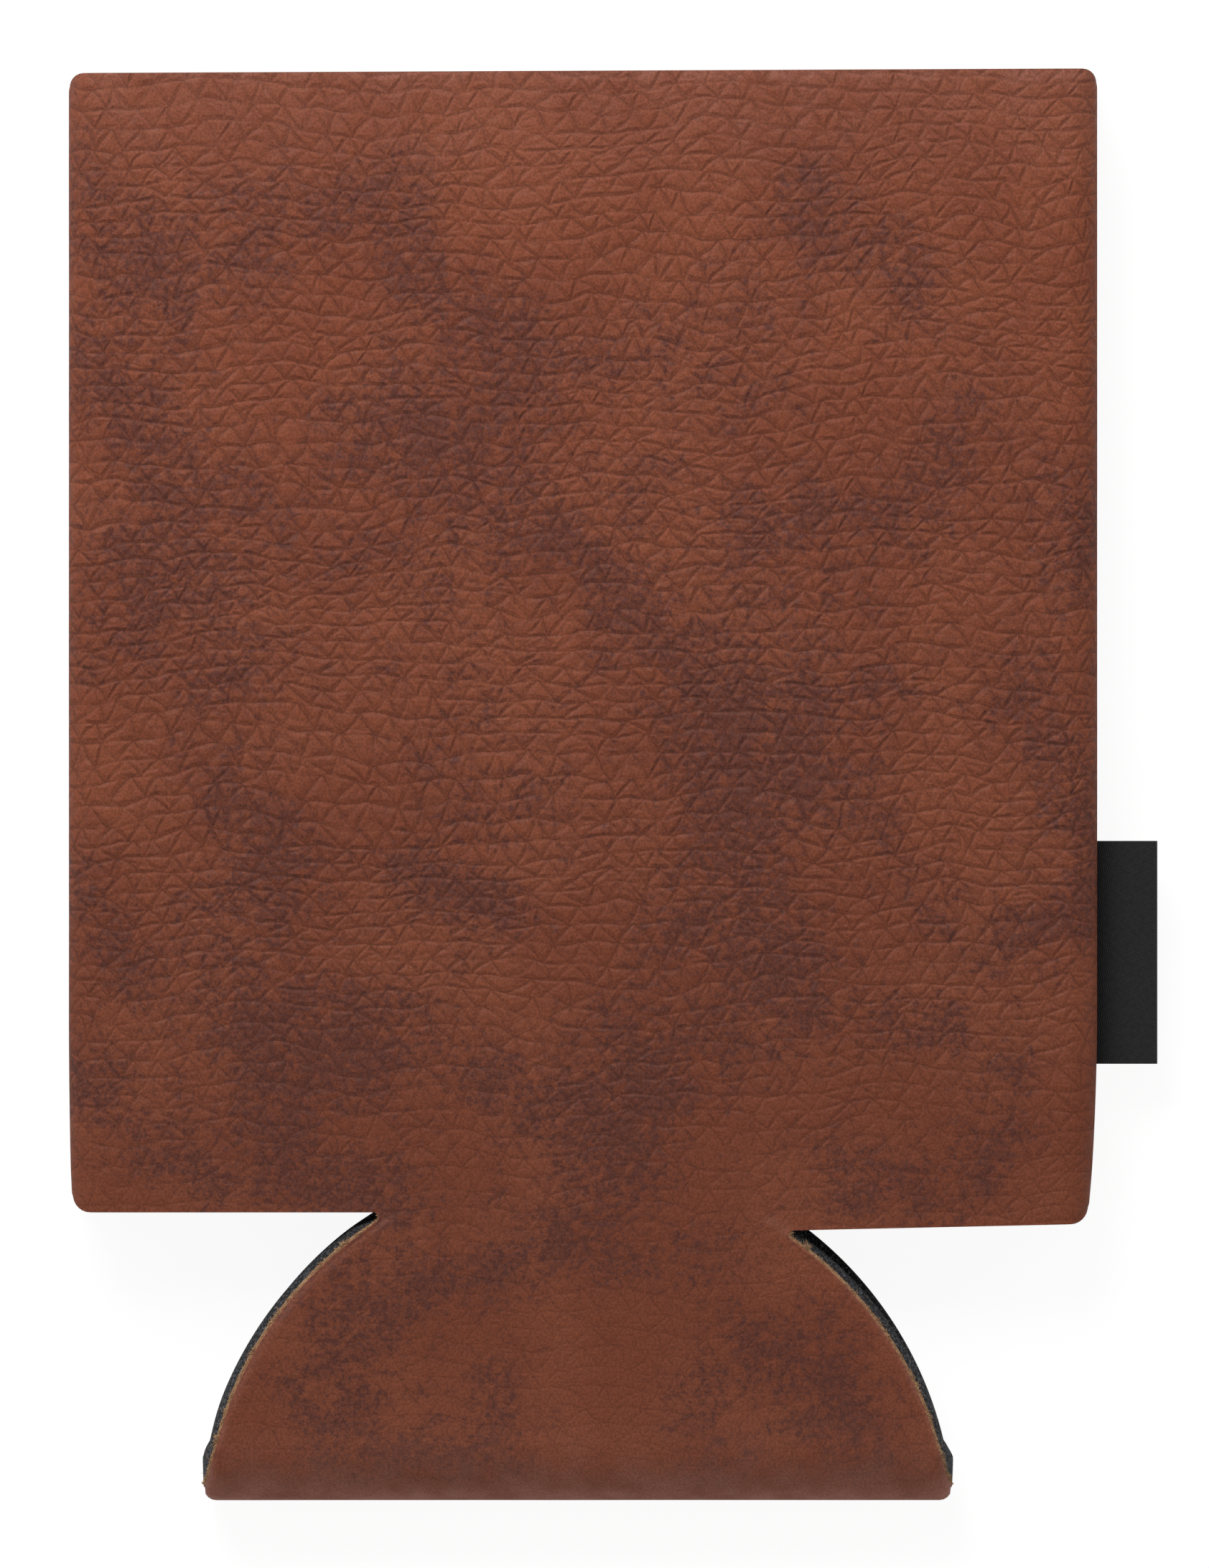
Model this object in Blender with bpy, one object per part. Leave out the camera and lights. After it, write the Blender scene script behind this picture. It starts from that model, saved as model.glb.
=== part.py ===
"""Can cooler sleeve, lying flat and empty on its back panel.

The sleeve is one die-cut blank of foam-backed leatherette: front panel, round base and back panel
in a row. The base is folded in half with the skin outside, both sides are sewn with their seams
turned in, and a ribbon loop is caught in the right seam.

Frame: metres, +X to the right, +Y to the mouth, +Z up. The origin is under the middle of the body,
on the surface that the sleeve lies on.
"""
import math

import bmesh
import bpy
from mathutils import Vector

# Driving dimensions of the blank, lying flat
FLAT_WIDTH = 0.100            # side edge to side edge
BODY_HEIGHT = 0.1105          # hem to mouth, at the left side
MOUTH_RISE = 0.00045          # how much higher the mouth edge is at the right side
HEM_DROP_NECK = 0.00175       # how much lower the right hem is beside the base
HEM_DROP_CORNER = 0.0011      # how much lower the right hem is at its outer corner
DRAW_IN_LEFT = 0.0003         # the side edges draw in a little just above the hem
DRAW_IN_RIGHT = 0.0008
DRAW_IN_HEIGHT = 0.020
MOUTH_CORNER = 0.0014         # rounding of the corners, seen from above
HEM_CORNER = 0.0018

# Driving dimensions of the round base
BASE_RADIUS = 0.0365
BASE_OFFSET = -0.0005         # the base sits a little to the left of the body
TAB_DEPTH = 0.0282            # left hem to the fold
FOLD_SHIFT = 0.00065          # the fold misses the centre of the base, which stays in the back half
FOLD_SKEW = 0.0004            # the front half is turned, further from the hem at the right
FOLD_CORNER = 0.0012          # the two ends of the fold are pinched round
NOTCH_RADIUS = 0.0005         # where the cut round the base runs into the hem

# Driving dimensions of the laminate and the turned seams
WALL = 0.0030                 # leatherette and foam together
ROLL_WALL = 0.0026            # pressed thinner where it rolls over at the side edge
ALLOWANCE = 0.0040            # width of the seam allowance inside
ALLOWANCE_WALL = 0.0017       # pressed by the stitching
SEAM_GAP = 0.0003             # between the two allowances, skin to skin
CLEARANCE = 0.0003            # between pieces that touch on the real sleeve

# Driving dimensions of the side seam threads
THREAD = 0.00035
STITCH_PITCH = 0.0025         # from one wrap round the allowances to the next
NEEDLE_MARGIN = 0.0015        # from the roll to the line that the needle follows
STITCH_END = 0.0010           # from the rounded corner to the last wrap
WRAP_BEVEL = 0.0005           # how softly a wrap turns round the cut edges

# Driving dimensions of the ribbon label
LABEL_LENGTH = 0.0217         # along the seam
LABEL_REACH = 0.0059          # beyond the side edge
LABEL_HEIGHT = 0.0143         # from the left hem to the label
LABEL_PLY = 0.0003
LABEL_LOOP_GAP = 0.0002       # between the two plies
LABEL_END = 0.0005            # from the label's cut ends to the allowances' cut edges
LABEL_EASE = 0.0020           # stretch over which the allowances close up beside the label

# How finely the round forms are divided
ROLL_STEPS = 8
FOLD_STEPS = 6
BASE_STEPS = 10
NOTCH_STEPS = 4
NECK_STEPS = 5
PANEL_STEPS = 2
ALLOWANCE_STEPS = 2
LOWER_STEPS = 2
UPPER_STEPS = 5
END_ROW = 0.0042              # from the hem and the mouth to the first full row
PINCH_STATION = 0.3           # where a point rounds off the pinched fold end, as a share of its width

# Sizes that follow
SLOT = THREAD + 2 * CLEARANCE
LYING_HEIGHT = 2 * (WALL + SLOT + ALLOWANCE_WALL) + SEAM_GAP
MID_HEIGHT = LYING_HEIGHT / 2
ROLL_RADIUS = (WALL + SLOT + ALLOWANCE_WALL) / 2
FOLD_RADIUS = LYING_HEIGHT / 2
FOLD_QUARTER = FOLD_RADIUS * math.pi / 2
HEM_Y = -BODY_HEIGHT / 2
MOUTH_Y = BODY_HEIGHT / 2
FOLD_Y = HEM_Y - TAB_DEPTH + FOLD_RADIUS
LABEL_THICKNESS = 2 * LABEL_PLY + LABEL_LOOP_GAP
LABEL_OPENING = LABEL_THICKNESS + 2 * CLEARANCE
LABEL_LOW = HEM_Y + LABEL_HEIGHT
LABEL_HIGH = LABEL_LOW + LABEL_LENGTH

LEFT, RIGHT = -1, 1
FRONT, BACK = 1, -1


def lerp(start, end, share):
    return start + (end - start) * share


def spaced(start, end, steps):
    """Even stations from start to end, both included."""
    return [lerp(start, end, step / steps) for step in range(steps + 1)]


# The outline of the body

def side_edge(y, side):
    """Distance of a side edge from the centreline."""
    draw_in = DRAW_IN_RIGHT if side == RIGHT else DRAW_IN_LEFT
    near_hem = max(0.0, 1.0 - (y - HEM_Y) / DRAW_IN_HEIGHT)
    return FLAT_WIDTH / 2 - draw_in * near_hem ** 2


def mouth_y(x):
    return MOUTH_Y + MOUTH_RISE * (0.5 + x / FLAT_WIDTH)


def hem_y(x, neck_x):
    """The hem is level at the left, and lower at the right, where it rises towards its corner."""
    if x < neck_x:
        return HEM_Y
    share = (x - neck_x) / (FLAT_WIDTH / 2 - neck_x)
    return HEM_Y - lerp(HEM_DROP_NECK, HEM_DROP_CORNER, share)


# The outline of the base, in distances along the skin from the middle of the fold

def along_skin(y):
    return y - FOLD_Y + FOLD_QUARTER


def base_edge(neck, centre):
    """One side of half the base, from the hem to the fold: half widths with their distances.

    neck is where the hem is, and centre is where the middle of the round base is.
    """
    notch_from_centre = neck - NOTCH_RADIUS - centre
    reach = BASE_RADIUS + NOTCH_RADIUS
    notch_x = math.sqrt(reach ** 2 - notch_from_centre ** 2)
    touch = math.atan2(notch_x, notch_from_centre)
    edge = []
    for turn in spaced(0.0, math.pi - touch, NOTCH_STEPS):
        edge.append((notch_x - NOTCH_RADIUS * math.sin(turn),
                     neck - NOTCH_RADIUS + NOTCH_RADIUS * math.cos(turn)))
    fold_start = math.acos((FOLD_QUARTER - centre) / BASE_RADIUS)
    for angle in spaced(touch, fold_start, BASE_STEPS)[1:]:
        edge.append((BASE_RADIUS * math.sin(angle), centre + BASE_RADIUS * math.cos(angle)))
    for along in spaced(FOLD_QUARTER, 0.0, FOLD_STEPS)[1:]:
        edge.append((math.sqrt(BASE_RADIUS ** 2 - (along - centre) ** 2), along))
    return edge


def base_columns():
    """Stations across the base from -1 to 1, each with how much it follows the pinched fold end."""
    end = FOLD_CORNER / BASE_RADIUS
    half_pinch = 1.0 - math.sqrt(1.0 - (1.0 - PINCH_STATION) ** 2)
    middle = [(station, 0.0) for station in spaced(-1.0 + end, 1.0 - end, NECK_STEPS)]
    left = [(-1.0, 1.0), (-1.0 + PINCH_STATION * end, half_pinch)]
    right = [(1.0 - PINCH_STATION * end, half_pinch), (1.0, 1.0)]
    return left + middle + right


def base_point(x, along, half, pinch, depth):
    """A point of the folded base, at some depth below its skin."""
    turn = min(along, FOLD_QUARTER) / FOLD_RADIUS
    radius = FOLD_RADIUS - depth
    y = FOLD_Y + max(along - FOLD_QUARTER, 0.0) - radius * math.cos(turn)
    y += pinch * FOLD_CORNER * math.cos(turn)
    return Vector((x, y, MID_HEIGHT + half * radius * math.sin(turn)))


def base_rows(half):
    """Rows of skin and foam points across half the base, from the hem to the fold."""
    centre = -half * FOLD_SHIFT
    skew = FOLD_SKEW if half == FRONT else 0.0
    left_edge = base_edge(along_skin(HEM_Y), centre + skew)
    right_edge = base_edge(along_skin(HEM_Y - HEM_DROP_NECK), centre - skew)
    rows = []
    for (left_half, left_along), (right_half, right_along) in zip(left_edge, right_edge):
        row = []
        for station, pinch in base_columns():
            share = (station + 1.0) / 2
            x = BASE_OFFSET + lerp(-left_half, right_half, share)
            along = lerp(left_along, right_along, share)
            row.append((base_point(x, along, half, pinch, 0.0), base_point(x, along, half, pinch, WALL)))
        rows.append(row)
    return rows


# The panels with their turned sides

def seam_opening(y, side):
    """How far apart the two seam allowances lie: they part round the label."""
    if side == LEFT:
        return SEAM_GAP
    outside = max(LABEL_LOW - CLEARANCE - y, y - LABEL_HIGH - CLEARANCE, 0.0)
    return lerp(LABEL_OPENING, SEAM_GAP, min(outside / LABEL_EASE, 1.0))


def rounded_corner(from_edge, radius):
    """How far a corner that is round in plan falls back, at a distance from the side edge."""
    share = 1.0 - min(max(from_edge / radius, 0.0), 1.0)
    return radius * (1.0 - math.sqrt(1.0 - share ** 2))


def turned_side(y, side):
    """The rolled side edge and its allowance, on the front panel, from the flat to the cut edge.

    Each station gives the skin's and the foam's distance from the centreline and height, and how
    far it lies from the side edge in plan.
    """
    edge = side_edge(y, side)
    roll_x = edge - ROLL_RADIUS
    roll_z = LYING_HEIGHT - ROLL_RADIUS
    seam_z = MID_HEIGHT + seam_opening(y, side) / 2
    slot_x = edge - ROLL_WALL - SLOT / 2
    slot_z = LYING_HEIGHT - WALL - SLOT / 2
    stations = []
    for angle in spaced(math.pi / 2, -math.pi / 2, ROLL_STEPS):
        rise = ROLL_RADIUS if angle > 0 else roll_z - seam_z
        skin = (roll_x + ROLL_RADIUS * math.cos(angle), roll_z + rise * math.sin(angle))
        foam = (slot_x + SLOT / 2 * math.cos(angle), slot_z + SLOT / 2 * math.sin(angle))
        from_edge = edge - skin[0] if angle > 0 else 0.0
        stations.append((skin, foam, from_edge))
    cut_x = roll_x - ALLOWANCE
    for share in spaced(0.0, 1.0, ALLOWANCE_STEPS)[1:]:
        skin = (lerp(roll_x, cut_x, share), seam_z)
        foam = (lerp(slot_x, cut_x, share), slot_z - SLOT / 2)
        stations.append((skin, foam, 0.0))
    return stations


def panel_side(y, side, neck_x, end_y, corner, inward):
    """Points of one panel row from the neck outwards and round the turned side.

    end_y is a function of x for a row along a cut edge, where the corner falls back by inward.
    """
    turned = turned_side(y, side)
    roll_start = turned[0]
    points = []
    for share in spaced(0.0, 1.0, PANEL_STEPS)[1:-1]:
        skin_x = lerp(abs(neck_x), roll_start[0][0], share)
        foam_x = lerp(abs(neck_x), roll_start[1][0], share)
        points.append(((skin_x, LYING_HEIGHT), (foam_x, LYING_HEIGHT - WALL), side_edge(y, side)))
    placed = []
    for skin, foam, from_edge in points + turned:
        row_y = y
        if end_y:
            row_y = end_y(side * skin[0]) + inward * rounded_corner(from_edge, corner)
        placed.append((Vector((side * skin[0], row_y, skin[1])), Vector((side * foam[0], row_y, foam[1]))))
    return placed


def panel_row(y, neck_row, end_y=None, corner=0.0, inward=0):
    """One row of skin and foam points across the front panel, between its two cut edges."""
    neck = []
    for skin, foam in neck_row:
        row_y = end_y(skin.x) if end_y else y
        neck.append((Vector((skin.x, row_y, LYING_HEIGHT)), Vector((foam.x, row_y, LYING_HEIGHT - WALL))))
    left = panel_side(y, LEFT, neck_row[0][0].x, end_y, corner, inward)
    right = panel_side(y, RIGHT, neck_row[-1][0].x, end_y, corner, inward)
    return left[::-1] + neck + right


def panel_rows(neck_row):
    """Rows of the front panel from the mouth down to the hem."""
    low = LABEL_LOW - CLEARANCE
    high = LABEL_HIGH + CLEARANCE
    heights = spaced(HEM_Y + END_ROW, low - LABEL_EASE, LOWER_STEPS)
    heights += [low, high]
    heights += spaced(high + LABEL_EASE, MOUTH_Y - END_ROW, UPPER_STEPS)
    rows = [panel_row(MOUTH_Y, neck_row, mouth_y, MOUTH_CORNER, -1)]
    rows += [panel_row(y, neck_row) for y in reversed(heights)]
    right_neck = neck_row[-1][0].x

    def hem(x):
        return hem_y(x, right_neck)

    hem_row = panel_row(HEM_Y, neck_row, hem, HEM_CORNER, 1)
    side_count = (len(hem_row) - len(neck_row)) // 2
    hem_row[side_count:side_count + len(neck_row)] = neck_row
    rows.append(hem_row)
    return rows


def turned_over(rows):
    """Front panel rows as back panel rows, which lie face down."""
    flipped = []
    for row in rows:
        flipped.append([tuple(Vector((p.x, p.y, LYING_HEIGHT - p.z)) for p in pair) for pair in row])
    return flipped


# From rows of points to solids

def sleeve_rows():
    """All rows of the blank, from the front mouth over the fold to the back mouth."""
    front_base = base_rows(FRONT)
    back_base = base_rows(BACK)
    front = panel_rows(front_base[0])
    back = turned_over(panel_rows(turned_over([back_base[0]])[0]))
    return front + front_base[1:] + back_base[-2:0:-1] + back[::-1]


def laminate(bm, rows):
    """Skin the rows and thicken them to their foam side, as one closed body."""
    station = bm.verts.layers.int.new("station")
    foam_points = []
    widest = max(len(row) for row in rows)
    columns = []
    for row in rows:
        first = (widest - len(row)) // 2
        verts = {}
        for place, (skin, foam) in enumerate(row):
            vert = bm.verts.new(skin)
            vert[station] = len(foam_points)
            foam_points.append(foam)
            verts[first + place] = vert
        columns.append(verts)
    for upper, lower in zip(columns, columns[1:]):
        for place in sorted(upper.keys() & lower.keys()):
            if place + 1 in upper and place + 1 in lower:
                bm.faces.new((upper[place], lower[place], lower[place + 1], upper[place + 1]))
    grown = bmesh.ops.extrude_face_region(bm, geom=bm.faces[:], use_keep_orig=True)
    for item in grown["geom"]:
        if isinstance(item, bmesh.types.BMVert):
            item.co = foam_points[item[station]]
    bmesh.ops.recalc_face_normals(bm, faces=bm.faces[:])


def new_object(name, data, material):
    obj = bpy.data.objects.new(name, data)
    data.materials.append(material)
    bpy.context.scene.collection.objects.link(obj)
    return obj


def make_material(name, colour, roughness):
    material = bpy.data.materials.new(name)
    material.use_nodes = True
    shader = material.node_tree.nodes["Principled BSDF"]
    shader.inputs["Base Color"].default_value = (*colour, 1.0)
    shader.inputs["Roughness"].default_value = roughness
    shader.inputs["Metallic"].default_value = 0.0
    material.diffuse_color = (*colour, 1.0)
    return material


def make_sleeve(material):
    mesh = bpy.data.meshes.new("sleeve")
    bm = bmesh.new()
    laminate(bm, sleeve_rows())
    bm.to_mesh(mesh)
    bm.free()
    mesh.shade_smooth()
    mesh.set_sharp_from_angle(angle=math.radians(40))
    return new_object("sleeve", mesh, material)


def make_label(material):
    """A ribbon folded double at its outer end, with its cut ends between the allowances."""
    edge = side_edge(LABEL_HIGH, RIGHT)
    inner_x = edge - ROLL_RADIUS - ALLOWANCE + LABEL_END
    bend = (LABEL_PLY + LABEL_LOOP_GAP) / 2
    bend_x = edge + LABEL_REACH - LABEL_THICKNESS / 2
    path = [(inner_x, MID_HEIGHT + bend)]
    for angle in spaced(math.pi / 2, -math.pi / 2, ROLL_STEPS):
        path.append((bend_x + bend * math.cos(angle), MID_HEIGHT + bend * math.sin(angle)))
    path.append((inner_x, MID_HEIGHT - bend))
    bm = bmesh.new()
    verts = [bm.verts.new((x, LABEL_LOW, z)) for x, z in path]
    edges = [bm.edges.new(pair) for pair in zip(verts, verts[1:])]
    grown = bmesh.ops.extrude_edge_only(bm, edges=edges)
    far_verts = [item for item in grown["geom"] if isinstance(item, bmesh.types.BMVert)]
    bmesh.ops.translate(bm, verts=far_verts, vec=(0.0, LABEL_LENGTH, 0.0))
    bmesh.ops.recalc_face_normals(bm, faces=bm.faces[:])
    mesh = bpy.data.meshes.new("label")
    bm.to_mesh(mesh)
    bm.free()
    mesh.shade_smooth()
    label = new_object("label", mesh, material)
    ply = label.modifiers.new("ply", "SOLIDIFY")
    ply.thickness = LABEL_PLY
    ply.offset = 0.0
    return label


def make_seam_thread(name, side, material):
    """The looper thread of one side seam, wrapped to and fro round the two allowances."""
    first = HEM_Y + HEM_CORNER + STITCH_END
    last = MOUTH_Y - MOUTH_CORNER - STITCH_END
    wraps = int((last - first) / STITCH_PITCH) + 1
    slot_z = LYING_HEIGHT - WALL - SLOT / 2
    route = []
    for wrap in range(wraps):
        y = first + wrap * STITCH_PITCH
        cut_x = side_edge(y, side) - ROLL_RADIUS - ALLOWANCE
        needle_x = side_edge(y, side) - ROLL_RADIUS - NEEDLE_MARGIN
        turn_x = cut_x - CLEARANCE - THREAD / 2
        half = [(needle_x, slot_z), (turn_x + WRAP_BEVEL, slot_z), (turn_x, slot_z - WRAP_BEVEL)]
        under = [(x, LYING_HEIGHT - z) for x, z in reversed(half)]
        wrap_points = half + under
        if wrap % 2:
            wrap_points.reverse()
        route += [(side * x, y, z) for x, z in wrap_points]
    curve = bpy.data.curves.new(name, "CURVE")
    curve.dimensions = "3D"
    curve.bevel_depth = THREAD / 2
    curve.bevel_resolution = 0
    curve.use_fill_caps = True
    spline = curve.splines.new("POLY")
    spline.points.add(len(route) - 1)
    for point, place in zip(spline.points, route):
        point.co = (*place, 1.0)
    return new_object(name, curve, material)


def clear_scene():
    for obj in list(bpy.data.objects):
        bpy.data.objects.remove(obj)


def main():
    clear_scene()
    leatherette = make_material("leatherette", (0.181, 0.051, 0.027), 0.55)
    ribbon = make_material("ribbon", (0.012, 0.012, 0.013), 0.80)
    thread = make_material("thread", (0.020, 0.017, 0.016), 0.70)
    make_sleeve(leatherette)
    make_label(ribbon)
    make_seam_thread("seam_thread_left", LEFT, thread)
    make_seam_thread("seam_thread_right", RIGHT, thread)


main()
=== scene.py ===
"""The finish of a foam-backed can sleeve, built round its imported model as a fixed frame.

The sleeve lies flat on its back panel with its base folded in half, seen from straight above.
Metres, +X to the right, +Y to the mouth, +Z up.
"""
import math

import bpy
import numpy as np
from bpy.props import FloatProperty, FloatVectorProperty, IntProperty, PointerProperty
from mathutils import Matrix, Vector


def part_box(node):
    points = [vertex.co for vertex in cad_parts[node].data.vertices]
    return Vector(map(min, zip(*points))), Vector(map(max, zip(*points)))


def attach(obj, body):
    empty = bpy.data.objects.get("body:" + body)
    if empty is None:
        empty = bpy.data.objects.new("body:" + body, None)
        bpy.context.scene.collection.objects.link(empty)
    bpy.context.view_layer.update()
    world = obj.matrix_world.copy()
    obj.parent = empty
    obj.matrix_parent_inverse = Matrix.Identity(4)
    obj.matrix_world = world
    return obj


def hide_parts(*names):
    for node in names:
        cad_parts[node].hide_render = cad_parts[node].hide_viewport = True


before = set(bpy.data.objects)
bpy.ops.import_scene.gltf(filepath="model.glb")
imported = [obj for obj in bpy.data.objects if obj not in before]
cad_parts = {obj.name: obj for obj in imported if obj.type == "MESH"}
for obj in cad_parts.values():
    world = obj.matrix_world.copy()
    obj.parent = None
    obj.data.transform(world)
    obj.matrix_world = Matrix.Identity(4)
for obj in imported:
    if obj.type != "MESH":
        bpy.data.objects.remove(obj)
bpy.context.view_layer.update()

bl_info = {
    "name": "Can Sleeve Finish",
    "version": (1, 0, 0),
    "blender": (4, 5, 0),
    "location": "3D View > Sidebar > Can Sleeve",
    "description": "Leatherette, cut edges, ribbon label and seam threads for a folded can sleeve",
    "category": "Object",
}

SLEEVE_LOW, SLEEVE_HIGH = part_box("sleeve")
LABEL_LOW, LABEL_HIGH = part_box("label")
BODY = "root"

LEFT, RIGHT = -1, 1
FRONT, BACK = 1, -1
MM = 0.001

# Material indices of the sleeve
SKIN, BACKING, FOAM = 0, 1, 2

# The photograph's frame, in its own pixels, and where the sleeve lies in it
PHOTO_WIDTH = 1684
PHOTO_HEIGHT = 2184
BODY_LEFT_PX = 94.6           # the body's two side edges in the photograph
BODY_RIGHT_PX = 1529.5
LEFT_HEM_PX = 1688.0          # the left hem's height in the photograph

# Dark marks of the leatherette's print, as strokes: strength, radius, and points across and along
# the front panel, in millimetres from the middle of the body
MARKS = (
    (0.22, 4.5, ((-46, 40), (-42, 8))),
    (0.20, 4.5, ((-36, 1), (-4, -5))),
    (0.20, 4.5, ((-12, -10), (8, -24))),
    (0.75, 3.5, ((-41.5, 38), (-40.5, 35))),
    (0.60, 2.6, ((-32.2, 42), (-32, 37))),
    (0.40, 2.2, ((-48.5, 48), (-47.5, 40))),
    (0.68, 3.2, ((-23, 42), (-18.5, 43.5), (-17, 37), (-14, 33.5), (-9.4, 31.5), (-4, 28))),
    (0.62, 2.9, ((-48, 26.5), (-43, 23), (-41.4, 19.5), (-40, 16.5))),
    (0.38, 3.2, ((-37, 13.5), (-31.5, 13.5))),
    (0.85, 3.2, ((-20.5, 21), (-16.3, 21.5), (-15.5, 19.5))),
    (0.60, 3.8, ((-14, 18), (-8, 21), (-9.4, 15.5), (-6, 12.5))),
    (0.70, 2.3, ((-3.3, 10), (0.5, 8.2), (2.4, 5.5), (4.3, 2.3))),
    (0.66, 2.7, ((7.3, 0.5), (10.5, -1), (11.5, -3.5))),
    (0.92, 3.4, ((13.4, -7.4), (19.8, -6.6), (18.8, -10.8), (14, -10))),
    (0.70, 2.5, ((15, -13), (16, -15.5))),
    (0.50, 2.8, ((21.5, -12), (26, -13.8))),
    (0.45, 2.2, ((24, -5), (31.5, -3.8))),
    (0.48, 2.3, ((-23, 7.8), (-18, 8.6), (-14, 5))),
    (0.60, 3.6, ((-43.5, 7), (-36.5, 7))),
    (0.42, 2.4, ((-48.5, -1), (-44, 0.5))),
    (0.48, 2.8, ((-36.5, -5), (-33.5, -3))),
    (0.33, 3, ((5.5, 14), (7, 16))),
    (0.62, 2.8, ((17, 11.5), (22.5, 12.8), (27, 12), (32.5, 12.4))),
    (0.38, 3.4, ((16, 8.5), (18, 5), (24, 4.5))),
    (0.45, 2.8, ((34.5, 17), (35.5, 21), (38, 24))),
    (0.32, 3.4, ((41, 18.5), (46, 16))),
    (0.66, 2.8, ((22, 45), (22.5, 39.5), (26.5, 39.5), (32.5, 34.5))),
    (0.40, 3.2, ((5.8, 28), (9, 31.5), (16.5, 33.5))),
    (0.42, 3.4, ((14, 24.5), (18, 24))),
    (0.80, 2.6, ((49, 11.5), (47.6, 7.5))),
    (0.66, 3.3, ((42.5, -4), (44.5, -7.5), (47, -13.5), (49, -17.5))),
    (0.72, 3.1, ((-34, -15), (-31, -18), (-30, -21.5), (-32.4, -24))),
    (0.40, 2.6, ((-27, -23.5), (-35.5, -27))),
    (0.64, 2.9, ((-49, -23.5), (-46, -28.5), (-44, -31))),
    (0.90, 2.1, ((-16.5, -22.8), (-12, -24.2), (-7.8, -26.6))),
    (0.33, 2.8, ((-15, -12), (-11, -16.5), (-5, -15))),
    (0.62, 3.6, ((14, -19), (16.5, -24.5), (16.8, -29.5), (19, -28))),
    (0.80, 2.8, ((19.5, -31.5), (21, -35))),
    (0.55, 1.9, ((9, -28.3), (10.5, -26.8))),
    (0.42, 2, ((29, -18), (32, -23), (34.5, -26.5))),
    (0.72, 2.7, ((41.5, -28.8), (45.5, -27.5), (49, -24.5))),
    (0.66, 2.2, ((30, -37), (35.5, -37.5))),
    (0.45, 3.1, ((41.8, -42), (40, -47))),
    (0.82, 3.4, ((-31, -38.5), (-27, -40.5), (-21.5, -39.8))),
    (0.50, 2.6, ((-33, -36.5), (-25, -36), (-17, -36.5))),
    (0.82, 3.2, ((-29.5, -43.5), (-28.5, -47.5), (-29, -51.5), (-25.5, -53), (-19.5, -54))),
    (0.70, 3.1, ((-48.5, -42), (-46.5, -44))),
    (0.55, 2.3, ((-41, -49.3), (-38.5, -50), (-36.5, -53))),
    (0.66, 2.7, ((-9.5, -41.8), (-6.4, -44), (-2.8, -46))),
    (0.84, 3.3, ((2, -44.2), (4.6, -43.8), (3, -48))),
    (0.60, 2.8, ((4.5, -37.5), (5.5, -40.5), (8, -40.8))),
    (0.50, 2.8, ((4.3, -52.5), (2.5, -56), (4.5, -59), (-1, -57.5))),
    (0.58, 1.9, ((13, -39), (15, -38.6))),
    (0.60, 2.6, ((23.5, -50), (28, -51), (26, -53.5), (31.5, -53.5))),
    (0.45, 2.3, ((38, -54), (40.5, -50.5))),
    (0.42, 2.4, ((14.5, -58), (12, -60))),
    (0.66, 2.4, ((-24.5, -63.8), (-19.5, -64.5), (-15.5, -62.6), (-9.5, -61.4), (-3.5, -58.8))),
    (0.50, 3, ((-27.5, -72.5), (-25.5, -77), (-22.5, -74))),
    (0.45, 2.3, ((-25, -67.5), (-22.5, -70.5))),
    (0.52, 2.3, ((-22, -79.5), (-16.5, -79), (-11.5, -80), (-6.5, -79.5))),
    (0.66, 3, ((17, -68.8), (23.5, -68.2), (24, -72), (27, -74))),
    (0.46, 2.6, ((20.5, -75.5), (25, -77.8), (28, -78.8))),
    (0.46, 2.3, ((11.5, -73), (11.5, -78), (13, -80))),
    (0.42, 1.8, ((-9, -70.8), (-7.2, -71.6), (-8.8, -73.2))),
    (0.28, 2.4, ((-8, -74), (-12, -78))),
)


def lerp(start, end, share):
    return start + (end - start) * share


def spaced(start, end, steps):
    """Even stations from start to end, both included."""
    return np.linspace(start, end, steps + 1)


def steps_for(length, step):
    return max(1, math.ceil(length / step - 1e-6))


def smooth(values, low, high):
    """0 below low, 1 above high, and a smooth rise between them."""
    share = np.clip((values - low) / (high - low), 0.0, 1.0)
    return share * share * (3.0 - 2.0 * share)


def unit(vectors):
    return vectors / np.maximum(np.linalg.norm(vectors, axis=1, keepdims=True), 1e-12)


def distances_along(route):
    """How far along a route each of its points is."""
    return np.concatenate([[0.0], np.cumsum(np.linalg.norm(np.diff(route, axis=0), axis=1))])


def smooth_mesh(name, points, faces):
    mesh = bpy.data.meshes.new(name)
    mesh.from_pydata(points.tolist(), [], faces)
    mesh.shade_smooth()
    return mesh


# Settings that a user would change

def length(name, description, default, low=0.0):
    return FloatProperty(
        name=name, description=description, default=default, min=low,
        subtype="DISTANCE", unit="LENGTH", precision=5,
    )


def shift(name, description, default):
    """A length that may also be negative."""
    return length(name, description, default, low=-1.0)


def share_of(name, description, default):
    return FloatProperty(
        name=name, description=description, default=default, min=0.0, max=1.0, subtype="FACTOR",
    )


def colour(name, description, default):
    return FloatVectorProperty(
        name=name, description=description, default=default, size=3, min=0.0, max=1.0, subtype="COLOR",
    )


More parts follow.
